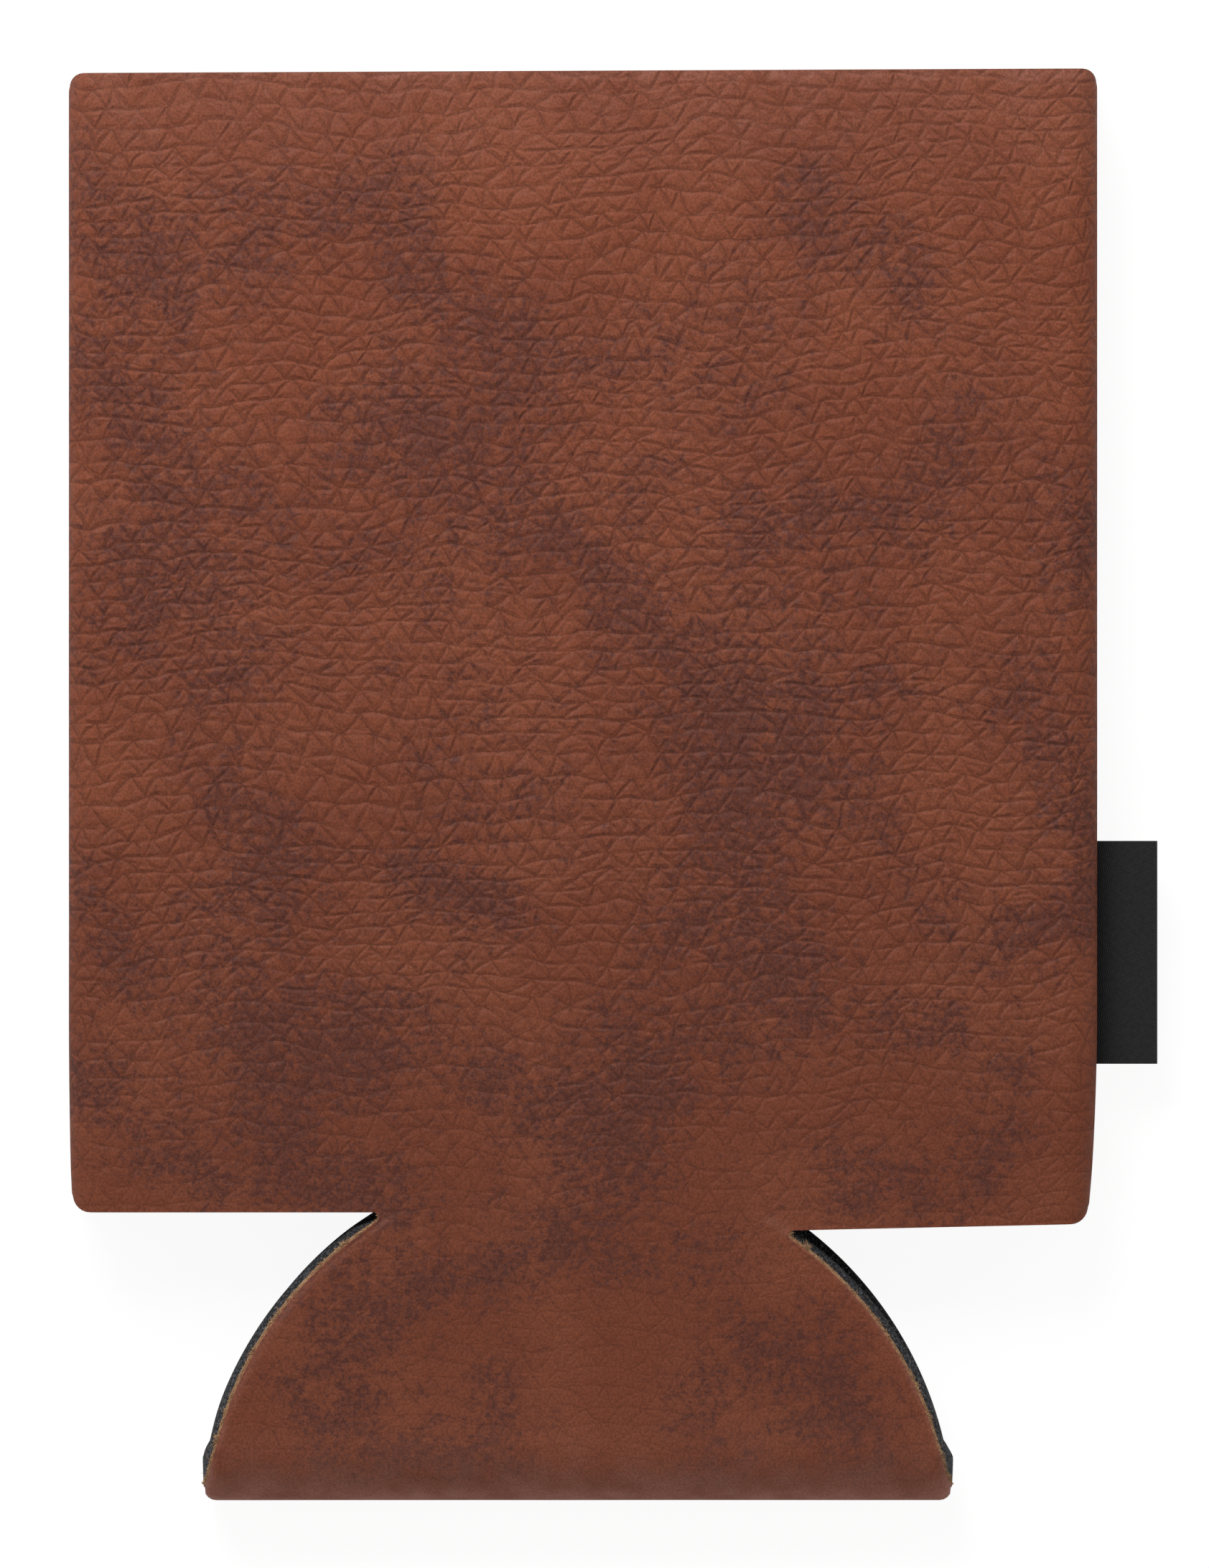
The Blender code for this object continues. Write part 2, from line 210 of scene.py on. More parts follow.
class SleeveSizes(bpy.types.PropertyGroup):
    """The blank's sizes, as its solid has them, and how finely its skin is divided"""
    body_height: length("Body height", "Hem to mouth at the left side", 0.1105)
    mouth_rise: shift("Mouth rise", "How much higher the mouth is at the right", 0.00045)
    hem_drop_neck: shift("Hem drop at the base", "How much lower the right hem is beside the base", 0.00175)
    hem_drop_corner: shift("Hem drop at the corner", "How much lower the right hem's corner is", 0.0011)
    draw_in_left: shift("Left draw-in", "How far the left edge draws in at the hem", 0.0003)
    draw_in_right: shift("Right draw-in", "How far the right edge draws in at the hem", 0.0008)
    draw_in_height: length("Draw-in height", "Height over which the sides draw in", 0.020)
    mouth_corner: length("Mouth corner", "Rounding of the mouth's corners", 0.0014)
    hem_corner: length("Hem corner", "Rounding of the hem's corners", 0.0018)
    back_hem_rise: shift("Back hem rise", "How much higher the back hem is beside the base", 0.0008)
    base_radius: length("Base radius", "Radius of the round base", 0.0365)
    base_offset: shift("Base offset", "How far the base sits to the right of the body", -0.0005)
    fold_shift: shift("Fold shift", "How far the fold misses the centre of the base", 0.00065)
    fold_skew: shift("Fold skew", "How far the front half is turned in the fold", 0.0004)
    fold_corner: length("Fold corner", "Rounding of the two ends of the fold", 0.0012)
    notch_radius: length("Notch radius", "Rounding where the base meets the hem", 0.0005)
    wall: length("Wall", "Leatherette and foam together", 0.003)
    roll_wall: length("Wall at the rolls", "The laminate where it rolls over at the sides", 0.0026)
    allowance: length("Seam allowance", "Width of the seam allowance inside", 0.004)
    allowance_wall: length("Allowance wall", "The laminate in the seam, pressed by the stitches", 0.0017)
    seam_gap: length("Seam gap", "Between the two allowances", 0.0003)
    label_ease: length("Label ease", "Stretch over which the seam closes beside the label", 0.002)
    front_step: length("Front step", "Width of a face of the front skin", 0.00052)
    back_step: length("Back step", "Length of a face of the back skin", 0.0014)
    lining_step: IntProperty(
        name="Lining step", description="Faces of the skin that one face of the foam side spans",
        default=4, min=1,
    )


class LeatherLook(bpy.types.PropertyGroup):
    """Colours and grain of the leatherette"""
    warm: colour("Warm brown", "The print's lighter brown", (0.214, 0.060, 0.029))
    deep: colour("Deep brown", "The print's other brown", (0.188, 0.050, 0.024))
    mark: colour("Mark", "The darker marks of the print", (0.108, 0.034, 0.024))
    # Painted shade at the bottom of a crease
    crease: colour("Crease", "The bottom of a crease", (0.052, 0.014, 0.008))
    # Paler coat: real wear where the cut edge has rubbed it, also used for the painted sheen over the fold
    # and the painted highlight and sheen by the mouth
    wear_and_sheen: colour("Worn", "The coat where the cut edge has rubbed it", (0.300, 0.120, 0.085))
    pebble_length: length("Pebble length", "Half a pebble's length, across the sleeve", 0.0014)
    pebble_height: length("Pebble height", "Height of a pebble of the grain", 0.0018)
    screen: length("Print screen", "From one dot of the print to the next", 0.00030)
    relief: length("Relief", "Depth of the grain in the mesh", 0.00005)
    bump: length("Bump", "Depth of the creases in the finish", 0.00020)
    unevenness: length("Unevenness", "How far the front panel rises and falls", 0.00025)
    faded_grain: share_of("Faded grain", "How much of the grain is left on the base", 0.16)
    edge_round: length("Edge rounding", "How far the skin drops at a cut edge", 0.00012)


class EdgeLook(bpy.types.PropertyGroup):
    """The cut edges: the leatherette's backing cloth and the foam"""
    backing: colour("Backing cloth", "The frayed cloth behind the leatherette", (0.400, 0.215, 0.115))
    fibre: colour("Fibre", "The loose fibres of the backing cloth", (0.560, 0.350, 0.190))
    foam: colour("Foam", "Cut foam", (0.026, 0.026, 0.028))
    fleck: colour("Fleck", "Lighter flecks of the cut foam", (0.130, 0.136, 0.147))
    stand_back: length("Stand-back", "How far the front half's skin stands back from the cut", 0.00042)
    bulge: length("Bulge", "How far the front half's foam stands out beyond its skin", 0.00080)
    coat: length("Coat", "Thickness of the leatherette's coat", 0.00012)
    cloth: length("Cloth", "Thickness of the backing cloth", 0.00040)
    fibre_length: length("Fibre length", "Mean length of a loose fibre", 0.00019)
    fibre_width: length("Fibre width", "Width of a loose fibre at its root", 0.00008)
    fibres: IntProperty(
        name="Fibres", description="Loose fibres on each millimetre of the base's edge", default=100, min=0,
    )


# The folded blank

# Stretch over which rows ease into the hem and the mouth
EDGE_EASE = 0.0042

# Steps along an allowance, round a notch, round the base's front, down its fold, and across the base
ALLOWANCE_STEPS = 4
NOTCH_STEPS = 5
ROUND_STEPS = 48
FOLD_STEPS = 18
ACROSS_STEPS = 72


class FoldedBlank:
    """Where each point of the blank lies once it is folded and sewn.

    Across is the distance from the centreline along the skin, and along is the distance from the
    middle of the fold, which is positive in the front half and negative in the back half.
    """

    def __init__(self, sizes, edges):
        self.sizes = sizes
        self.edges = edges
        self.half_width = (SLEEVE_HIGH.x - SLEEVE_LOW.x) / 2
        self.height = SLEEVE_HIGH.z - SLEEVE_LOW.z
        self.mid = self.height / 2
        self.mouth = sizes.body_height / 2
        self.hem = -sizes.body_height / 2
        self.fold_radius = self.height / 2
        self.fold_quarter = self.fold_radius * math.pi / 2
        self.fold = SLEEVE_LOW.y + self.fold_radius
        self.slot = self.mid - sizes.wall - sizes.allowance_wall - sizes.seam_gap / 2
        self.roll_radius = (sizes.wall + self.slot + sizes.allowance_wall) / 2
        self.neck = math.sqrt(sizes.base_radius ** 2 - self.along(self.hem) ** 2)

    def along(self, y):
        return y - self.fold + self.fold_quarter

    def side_edge(self, y, side):
        draw_in = self.sizes.draw_in_right if side == RIGHT else self.sizes.draw_in_left
        near_hem = np.maximum(0.0, 1.0 - (y - self.hem) / self.sizes.draw_in_height)
        return self.half_width - draw_in * near_hem ** 2

    def seam_opening(self, y, side):
        """How far apart the two allowances lie: they part round the label."""
        closed = self.sizes.seam_gap
        if side == LEFT:
            return np.full_like(y, closed)
        opened = LABEL_HIGH.z - LABEL_LOW.z + 2 * closed
        outside = np.maximum(LABEL_LOW.y - closed - y, y - LABEL_HIGH.y - closed)
        return lerp(opened, closed, np.clip(outside / self.sizes.label_ease, 0.0, 1.0))

    def turned_side(self, y, side, neck_x):
        """One side of the front panel, from the neck outwards to the allowance's cut edge."""
        sizes = self.sizes
        edge = self.side_edge(y, side)
        roll_x = edge - self.roll_radius
        slot_x = edge - sizes.roll_wall - self.slot / 2
        roll_z = self.height - self.roll_radius
        slot_z = self.height - sizes.wall - self.slot / 2
        seam_z = self.mid + self.seam_opening(y, side) / 2
        flat_steps = steps_for(self.half_width - self.roll_radius - self.neck, sizes.front_step)
        stations = []
        for share in spaced(0.0, 1.0, flat_steps)[1:-1]:
            skin_x = lerp(abs(neck_x), roll_x, share)
            foam_x = lerp(abs(neck_x), slot_x, share)
            stations.append((skin_x, self.height, foam_x, self.height - sizes.wall, edge, skin_x))
        roll_steps = steps_for(math.pi * self.roll_radius, sizes.front_step)
        for angle in spaced(math.pi / 2, -math.pi / 2, roll_steps):
            rise = self.roll_radius if angle > 0 else roll_z - seam_z
            skin_x = roll_x + self.roll_radius * math.cos(angle)
            skin_z = roll_z + rise * math.sin(angle)
            foam_x = slot_x + self.slot / 2 * math.cos(angle)
            foam_z = slot_z + self.slot / 2 * math.sin(angle)
            from_edge = edge - skin_x if angle > 0 else 0.0
            across = roll_x + self.roll_radius * (math.pi / 2 - angle)
            stations.append((skin_x, skin_z, foam_x, foam_z, from_edge, across))
        cut_x = roll_x - sizes.allowance
        for share in spaced(0.0, 1.0, ALLOWANCE_STEPS)[1:]:
            across = roll_x + self.roll_radius * math.pi + sizes.allowance * share
            skin_x = lerp(roll_x, cut_x, share)
            foam_x = lerp(slot_x, cut_x, share)
            stations.append((skin_x, seam_z, foam_x, slot_z - self.slot / 2, 0.0, across))
        return stations

    def panel(self, y, neck_x, rise=0.0):
        """Skin, foam and blank coordinates of the front panel, for rows at heights y."""
        columns = []
        for side, x in ((LEFT, neck_x[0]), (RIGHT, neck_x[-1])):
            stations = self.turned_side(y, side, x)
            columns.append([self.panel_column(y, side, station, neck_x, rise) for station in stations])
        neck = []
        for x in neck_x:
            station = (abs(x), self.height, abs(x), self.height - self.sizes.wall, 1.0, abs(x))
            neck.append(self.panel_column(y, RIGHT if x >= 0 else LEFT, station, neck_x, rise))
        ordered = columns[0][::-1] + neck + columns[1]
        return [np.stack([column[part] for column in ordered], axis=1) for part in range(3)]

    def panel_column(self, y, side, station, neck_x, rise):
        skin_x, skin_z, foam_x, foam_z, from_edge, across = station
        row_y = self.row_heights(y, side * skin_x, from_edge, neck_x, rise)
        level = np.ones_like(y)
        skin = np.stack([side * skin_x * level, row_y, skin_z * level], axis=1)
        foam = np.stack([side * foam_x * level, row_y, foam_z * level], axis=1)
        place = np.stack([side * across * level, self.along(row_y), 0.0 * level], axis=1)
        return skin, foam, place

    def row_heights(self, y, x, from_edge, neck_x, rise):
        """Rows near the hem and the mouth ease into those edges and their rounded corners.

        rise is how much higher the back panel's hem lies beside the base, hidden by the front's.
        """
        sizes = self.sizes
        to_mouth = np.clip(1.0 - (self.mouth - y) / EDGE_EASE, 0.0, 1.0)
        to_hem = np.clip(1.0 - (y - self.hem) / EDGE_EASE, 0.0, 1.0)
        mouth = sizes.mouth_rise * (0.5 + x / (2 * self.half_width))
        mouth = mouth - self.corner_fall(from_edge, sizes.mouth_corner)
        hem = np.interp(x, (neck_x[0], neck_x[-1], self.half_width),
                        (0.0, -sizes.hem_drop_neck, -sizes.hem_drop_corner))
        hem = hem + np.interp(x, (-self.half_width, neck_x[0], neck_x[-1], self.half_width),
                              (0.0, rise, rise, 0.0))
        hem = hem + self.corner_fall(from_edge, sizes.hem_corner)
        return y + to_mouth * mouth + to_hem * hem

    def corner_fall(self, from_edge, radius):
        """How far a corner that is round in plan falls back, at a distance from the side edge."""
        share = 1.0 - np.clip(from_edge / radius, 0.0, 1.0)
        return radius * (1.0 - np.sqrt(1.0 - share ** 2))

    def base_edge(self, neck, centre):
        """One side of half the base, from the hem to the fold: half widths and distances along."""
        sizes = self.sizes
        notch = sizes.notch_radius
        from_centre = neck - notch - centre
        notch_x = math.sqrt((sizes.base_radius + notch) ** 2 - from_centre ** 2)
        touch = math.atan2(notch_x, from_centre)
        edge = []
        for turn in spaced(0.0, math.pi - touch, NOTCH_STEPS):
            edge.append((notch_x - notch * math.sin(turn), neck - notch + notch * math.cos(turn)))
        fold_start = math.acos((self.fold_quarter - centre) / sizes.base_radius)
        for angle in spaced(touch, fold_start, ROUND_STEPS)[1:]:
            edge.append((sizes.base_radius * math.sin(angle), centre + sizes.base_radius * math.cos(angle)))
        for along in spaced(self.fold_quarter, 0.0, FOLD_STEPS)[1:]:
            edge.append((math.sqrt(sizes.base_radius ** 2 - (along - centre) ** 2), along))
        return np.array(edge)

    def base_stations(self):
        """Stations across the base from -1 to 1, close together where the fold's ends are rounded."""
        end = self.sizes.fold_corner / self.sizes.base_radius
        near = np.array([0.0, 0.12, 0.35, 0.65]) * end
        middle = spaced(-1.0 + end, 1.0 - end, ACROSS_STEPS)
        stations = np.concatenate([-1.0 + near, middle, (1.0 - near)[::-1]])
        from_end = np.clip((1.0 - np.abs(stations)) / end, 0.0, 1.0)
        return stations, 1.0 - np.sqrt(1.0 - (1.0 - from_end) ** 2)

    def base(self, half):
        """Skin, foam and blank coordinates of half the base, from the hem to the fold."""
        sizes = self.sizes
        centre = -half * sizes.fold_shift
        skew = sizes.fold_skew if half == FRONT else 0.0
        hem = self.hem + (sizes.back_hem_rise if half == BACK else 0.0)
        left = self.base_edge(self.along(hem), centre + skew)
        right = self.base_edge(self.along(hem - sizes.hem_drop_neck), centre - skew)
        stations, pinch = self.base_stations()
        share = (stations + 1.0) / 2
        along = lerp(left[:, 1:], right[:, 1:], share)
        cut_x = sizes.base_offset + lerp(-left[:, :1], right[:, :1], share)
        skin_x = cut_x - stations * self.edges.stand_back * self.cut_share(half * along)
        turn = np.minimum(along, self.fold_quarter) / self.fold_radius
        parts = []
        for depth, x in ((0.0, skin_x), (sizes.wall, cut_x)):
            radius = self.fold_radius - depth
            y = self.fold + np.maximum(along - self.fold_quarter, 0.0) - radius * np.cos(turn)
            y = y + pinch * sizes.fold_corner * np.cos(turn)
            z = self.mid + half * radius * np.sin(turn)
            parts.append(np.stack([x, y, z], axis=2))
        parts.append(np.stack([cut_x, half * along, 0.0 * cut_x], axis=2))
        return parts

    def cut_share(self, along):
        """How open the base's cut edge lies: full on the front half, and closed at the hem."""
        near_hem = smooth(self.along(self.hem) - np.abs(along), 0.0, 2.5 * MM)
        return near_hem * lerp(0.2, 1.0, smooth(along, 0.0, 6.0 * MM))

    def turned_over(self, parts):
        """A front panel's skin, foam and coordinates as the back panel's, which lies face down."""
        skin, foam, place = parts
        flip = np.array([1.0, 1.0, -1.0])
        lift = np.array([0.0, 0.0, self.height])
        return skin * flip + lift, foam * flip + lift, place * np.array([1.0, -1.0, 1.0])

    def grid(self):
        """The whole blank as a grid of rows and columns, from the front mouth round to the back mouth.

        Where a row has no point, its entries are not numbers. Gives skin, foam and blank
        coordinates, the bulge of the foam at each edge point, and the marks for the foam lattice.
        """
        sizes = self.sizes
        front_base = self.base(FRONT)
        back_base = self.base(BACK)
        body = self.mouth - self.hem
        front_y = spaced(self.mouth, self.hem, steps_for(body, sizes.front_step))
        back_y = spaced(self.mouth, self.hem, steps_for(body, sizes.back_step))
        front = self.panel(front_y, front_base[0][0, :, 0])
        back = self.turned_over(self.panel(back_y, back_base[0][0, :, 0], sizes.back_hem_rise))
        neck_columns = front_base[0].shape[1]
        side_columns = (front[0].shape[1] - neck_columns) // 2
        neck = slice(side_columns, side_columns + neck_columns)
        layers = []
        for part in range(3):
            rows = [front[part]]
            for base in (front_base[part][1:], back_base[part][-2:0:-1]):
                wide = np.full((base.shape[0], front[part].shape[1], 3), np.nan)
                wide[:, neck] = base
                rows.append(wide)
            rows.append(back[part][::-1])
            layers.append(np.concatenate(rows))
        base_rows = len(front_base[0]) - 1 + len(back_base[0]) - 2
        first = len(front_y)
        bulge = np.zeros(layers[0].shape[:2])
        along = layers[2][first:first + base_rows, :, 1]
        eased = self.cut_share(along) * lerp(0.6, 1.0, smooth(along, 6.0 * MM, 14.0 * MM))
        for column in (neck.start, neck.stop - 1):
            bulge[first:first + base_rows, column] = self.edges.bulge * eased[:, column]
        row_marks = (0, first - 1, first - 1 + len(front_base[0]) - 1, first + base_rows, len(bulge) - 1)
        column_marks = (0, neck.start, neck.stop - 1, bulge.shape[1] - 1)
        return layers[0], layers[1], layers[2], bulge, row_marks, column_marks


# How far the print is shifted on the back panel, across and along, in millimetres
PRINT_SHIFT = (9.0, 21.0)

# A stroke's dense core and its faint halo: reach in radii, and share of the stroke's strength
STROKE_PARTS = ((1.15, 0.60), (2.6, 0.36))


def print_marks(place, blank):
    """How dark the print is at points of the blank, from 0 to 1."""
    x = place[:, 0] / MM
    y = (place[:, 1] + blank.fold - blank.fold_quarter) / MM
    centre = (blank.fold - blank.fold_quarter) / MM
    panel = (blank.mouth - blank.fold + blank.fold_quarter) / MM
    behind = y < centre
    x = np.where(behind, -x + PRINT_SHIFT[0], x)
    y = np.where(behind, 2 * centre - y - PRINT_SHIFT[1], y)
    y = np.where(behind & (y < centre), y + panel, y)
    clear = np.ones(len(x))
    for strength, radius, points in MARKS:
        nearest = np.full(len(x), 1e9)
        for (x0, y0), (x1, y1) in zip(points, points[1:]):
            run_x, run_y = x1 - x0, y1 - y0
            share = ((x - x0) * run_x + (y - y0) * run_y) / (run_x ** 2 + run_y ** 2)
            share = np.clip(share, 0.0, 1.0)
            nearest = np.minimum(nearest, np.hypot(x - x0 - share * run_x, y - y0 - share * run_y))
        dark = sum(part * np.exp(-(nearest / (reach * radius)) ** 2) for reach, part in STROKE_PARTS)
        clear *= 1.0 - strength * dark
    return 1.0 - clear


def edge_profile(blank, bulge):
    """The cut edge from the skin down to the foam side.

    Gives for each ring its depth as a share of the wall, how far it stands out, and the material
    below it.
    """
    wall = blank.sizes.wall
    coat = blank.edges.coat / wall
    cloth = coat + blank.edges.cloth / wall
    soft = 0.00006
    return (
        (coat, soft + 0.06 * bulge, BACKING),
        (lerp(coat, cloth, 0.5), soft + 0.22 * bulge, BACKING),
        (cloth, soft + 0.36 * bulge, FOAM),
        (lerp(cloth, 1.0, 0.25), soft + 0.84 * bulge, FOAM),
        (lerp(cloth, 1.0, 0.55), soft + 1.00 * bulge, FOAM),
        (lerp(cloth, 1.0, 0.85), soft + 0.85 * bulge, FOAM),
        (1.0, 0.45 * bulge, FOAM),
    )


def boundary_edges(faces, count):
    """Directed edges that only one face has, as two arrays of vertex numbers."""
    start = faces.ravel()
    end = np.roll(faces, -1, axis=1).ravel()
    forward = start * count + end
    backward = end * count + start
    alone = ~np.isin(forward, backward)
    return start[alone], end[alone]


def outward_directions(points, normals, start, end):
    """At each boundary point, the direction in the skin's own plane that leads away from it."""
    run = unit(points[end] - points[start])
    summed = np.zeros_like(points)
    np.add.at(summed, start, np.cross(run, normals[start]))
    np.add.at(summed, end, np.cross(run, normals[end]))
    return unit(summed)


def lattice_faces(number, valid, row_marks, column_marks, step):
    """Wide faces of the foam side, which take in every point of the blank's edge beside them."""
    rows = lattice_lines(row_marks, step)
    columns = lattice_lines(column_marks, step)
    cells = whole_cells(valid)
    faces = []
    for top, bottom in zip(rows, rows[1:]):
        for left, right in zip(columns, columns[1:]):
            if not cells[top, left]:
                continue
            above = top > 0 and cells[top - 1, left]
            below = bottom < cells.shape[0] and cells[bottom, left]
            before = left > 0 and cells[top, left - 1]
            after = right < cells.shape[1] and cells[top, right]
            ring = [(top, c) for c in range(left, right, right - left if above else 1)]
            ring += [(r, right) for r in range(top, bottom, bottom - top if after else 1)]
            ring += [(bottom, c) for c in range(right, left, left - right if below else -1)]
            ring += [(r, left) for r in range(bottom, top, top - bottom if before else -1)]
            faces.append([int(number[r, c]) for r, c in ring])
    return faces


def lattice_lines(marks, step):
    lines = []
    for start, end in zip(marks, marks[1:]):
        lines += list(np.unique(spaced(start, end, steps_for(end - start, step)).round().astype(int))[:-1])
    return lines + [marks[-1]]


def surface_normals(points, faces):
    corners = points[faces]
    across = np.cross(corners[:, 2] - corners[:, 0], corners[:, 3] - corners[:, 1])
    normals = np.zeros_like(points)
    for corner in range(4):
        np.add.at(normals, faces[:, corner], across)
    return unit(normals)


def whole_cells(valid):
    """Which cells of a grid have all four of their corners."""
    return valid[:-1, :-1] & valid[1:, :-1] & valid[:-1, 1:] & valid[1:, 1:]


def skin_faces(number, valid):
    rows, columns = np.nonzero(whole_cells(valid))
    corners = ((rows, columns), (rows + 1, columns), (rows + 1, columns + 1), (rows, columns + 1))
    return np.stack([number[r, c] for r, c in corners], axis=1)


class CutBlank:
    """The skin with its cut edges, as arrays of points, ready to become a closed mesh."""

    def __init__(self, blank):
        skin, foam, place, bulge, self.row_marks, self.column_marks = blank.grid()
        self.valid = ~np.isnan(skin[:, :, 0])
        self.number = np.full(self.valid.shape, -1)
        self.number[self.valid] = np.arange(self.valid.sum())
        self.skin = skin[self.valid]
        self.foam = foam[self.valid]
        self.place = place[self.valid]
        self.faces = skin_faces(self.number, self.valid)
        self.normals = surface_normals(self.skin, self.faces)
        self.start, self.end = boundary_edges(self.faces, len(self.skin))
        self.out = outward_directions(self.skin, self.normals, self.start, self.end)
        self.edge_points = np.unique(self.start)
        self.bulge = bulge[self.valid]
        self.rings = []
        for depth, out, material in edge_profile(blank, self.bulge[:, None]):
            self.rings.append((lerp(self.skin, self.foam, depth) + self.out * out, material))

    def strip(self, above, below):
        """Faces between two rings of the cut edge, given by the numbers of their points."""
        corners = (above[self.end], above[self.start], below[self.start], below[self.end])
        return np.stack(corners, axis=1).tolist()


def new_piece(name, mesh, materials):
    piece = bpy.data.objects.new(name, mesh)
    for material in materials:
        mesh.materials.append(material)
    bpy.context.scene.collection.objects.link(piece)
    return piece


def add_values(mesh, name, values):
    """A value or a vector for each vertex, for the materials to read."""
    kind = "FLOAT" if values.ndim == 1 else "FLOAT_VECTOR"
    layer = mesh.attributes.new(name, kind, "POINT")
    layer.data.foreach_set("value" if kind == "FLOAT" else "vector", values.astype(np.float32).ravel())


# How much of the front's rise and fall is left at its side edges and at the fold
SIDE_SETTLE = 0.15
FOLD_SETTLE = 0.25

# Heights on the panel between which the grain grows from faded to full
GRAIN_RISE = (-0.072, -0.010)

# Strength and width of each band where the coat is paler: by the cut edge it is rubbed, over the fold it is
# painted sheen, and by the mouth a painted highlight on its edge and a wider painted sheen below it
CUT_BAND = (1.0, 0.00035)
FOLD_SHEEN_BAND = (2.2, 0.0062)
MOUTH_HIGHLIGHT_AND_SHEEN_BANDS = ((0.7, 0.0006), (0.4, 0.009))


def grain_strength(place, blank, leather):
    """The grain is deep by the mouth and fades towards the hem and the base."""
    y = np.abs(place[:, 1]) + blank.fold - blank.fold_quarter
    return lerp(leather.faded_grain, 1.0, smooth(y, *GRAIN_RISE))


def band(distance, strength, width):
    return strength * np.exp(-(distance / width) ** 2)


def wear_and_painted_sheen(place, blank):
    """How pale the coat is: rubbed by the base's cut edge, with painted sheen over its fold and a painted
    highlight and painted sheen at the mouth.
    """
    sizes = blank.sizes
    from_fold = np.abs(place[:, 1])
    radius = np.hypot(place[:, 0] - sizes.base_offset, place[:, 1] + sizes.fold_shift)
    cut = band(sizes.base_radius - radius, *CUT_BAND)
    cut *= smooth(blank.along(blank.hem) - from_fold, 0.0, 1.2 * MM)
    # Painted sheen over the fold, where the skin turns away from the lamp
    fold = band(from_fold, *FOLD_SHEEN_BAND)
    # Painted highlight along the mouth's edge, and a wider painted sheen below it
    from_mouth = blank.along(blank.mouth) - from_fold
    mouth = band(from_mouth, *MOUTH_HIGHLIGHT_AND_SHEEN_BANDS[0]) + band(from_mouth, *MOUTH_HIGHLIGHT_AND_SHEEN_BANDS[1])
    return np.maximum(np.maximum(cut, fold), mouth)


def settle_share(blank, skin, place):
    """How freely the skin rises and falls: less by the sides and over the fold."""
    by_side = smooth(blank.half_width - np.abs(skin[:, 0]), 1 * MM, 8 * MM)
    by_fold = smooth(np.abs(place[:, 1]), 6 * MM, 16 * MM)
    return lerp(SIDE_SETTLE, 1.0, by_side) * lerp(FOLD_SETTLE, 1.0, by_fold)


def sleeve_mesh(blank, leather):
    """The skin, the strips of its cut edge and the wide faces of its foam side, as one closed mesh."""
    cut = CutBlank(blank)
    count = len(cut.skin)
    on_edge = np.zeros(count, bool)
    on_edge[cut.edge_points] = True
    skin = cut.skin - cut.normals * (leather.edge_round * on_edge)[:, None]
    points = [skin]
    places = [cut.place]
    faces = [list(face) for face in cut.faces.tolist()]
    materials = [SKIN] * len(faces)
    edge_order = np.full(count, -1)
    edge_order[cut.edge_points] = np.arange(len(cut.edge_points))
    above = np.arange(count)
    total = count
    strip_material = SKIN
    for ring, material in cut.rings[:-1]:
        below = total + edge_order
        points.append(ring[cut.edge_points])
        places.append(cut.place[cut.edge_points])
        faces += cut.strip(above, below)
        materials += [strip_material] * len(cut.start)
        strip_material = material
        above = below
        total += len(cut.edge_points)
    lattice = lattice_faces(cut.number, cut.valid, cut.row_marks, cut.column_marks, blank.sizes.lining_step)
    used = np.unique(np.concatenate([np.array(face) for face in lattice]))
    foam_number = np.full(count, -1)
    foam_number[used] = total + np.arange(len(used))
    foam = np.where(on_edge[:, None], cut.rings[-1][0], cut.foam)
    points.append(foam[used])
    places.append(cut.place[used])
    faces += cut.strip(above, foam_number)
    faces += [foam_number[np.array(face)].tolist() for face in lattice]
    materials += [FOAM] * (len(cut.start) + len(lattice))

    mesh = smooth_mesh("sleeve", np.concatenate(points), faces)
    mesh.polygons.foreach_set("material_index", materials)
    place = np.concatenate(places)
    settle = np.zeros(len(place))
    settle[:count] = np.where(on_edge, 0.0, settle_share(blank, skin, cut.place))
    add_values(mesh, "blank", place)
    add_values(mesh, "grain", grain_strength(place, blank, leather))
    add_values(mesh, "marks", print_marks(place, blank))
    add_values(mesh, "wear_and_sheen", wear_and_painted_sheen(place, blank))
    add_values(mesh, "settle", settle)
    return mesh


# Node recipes

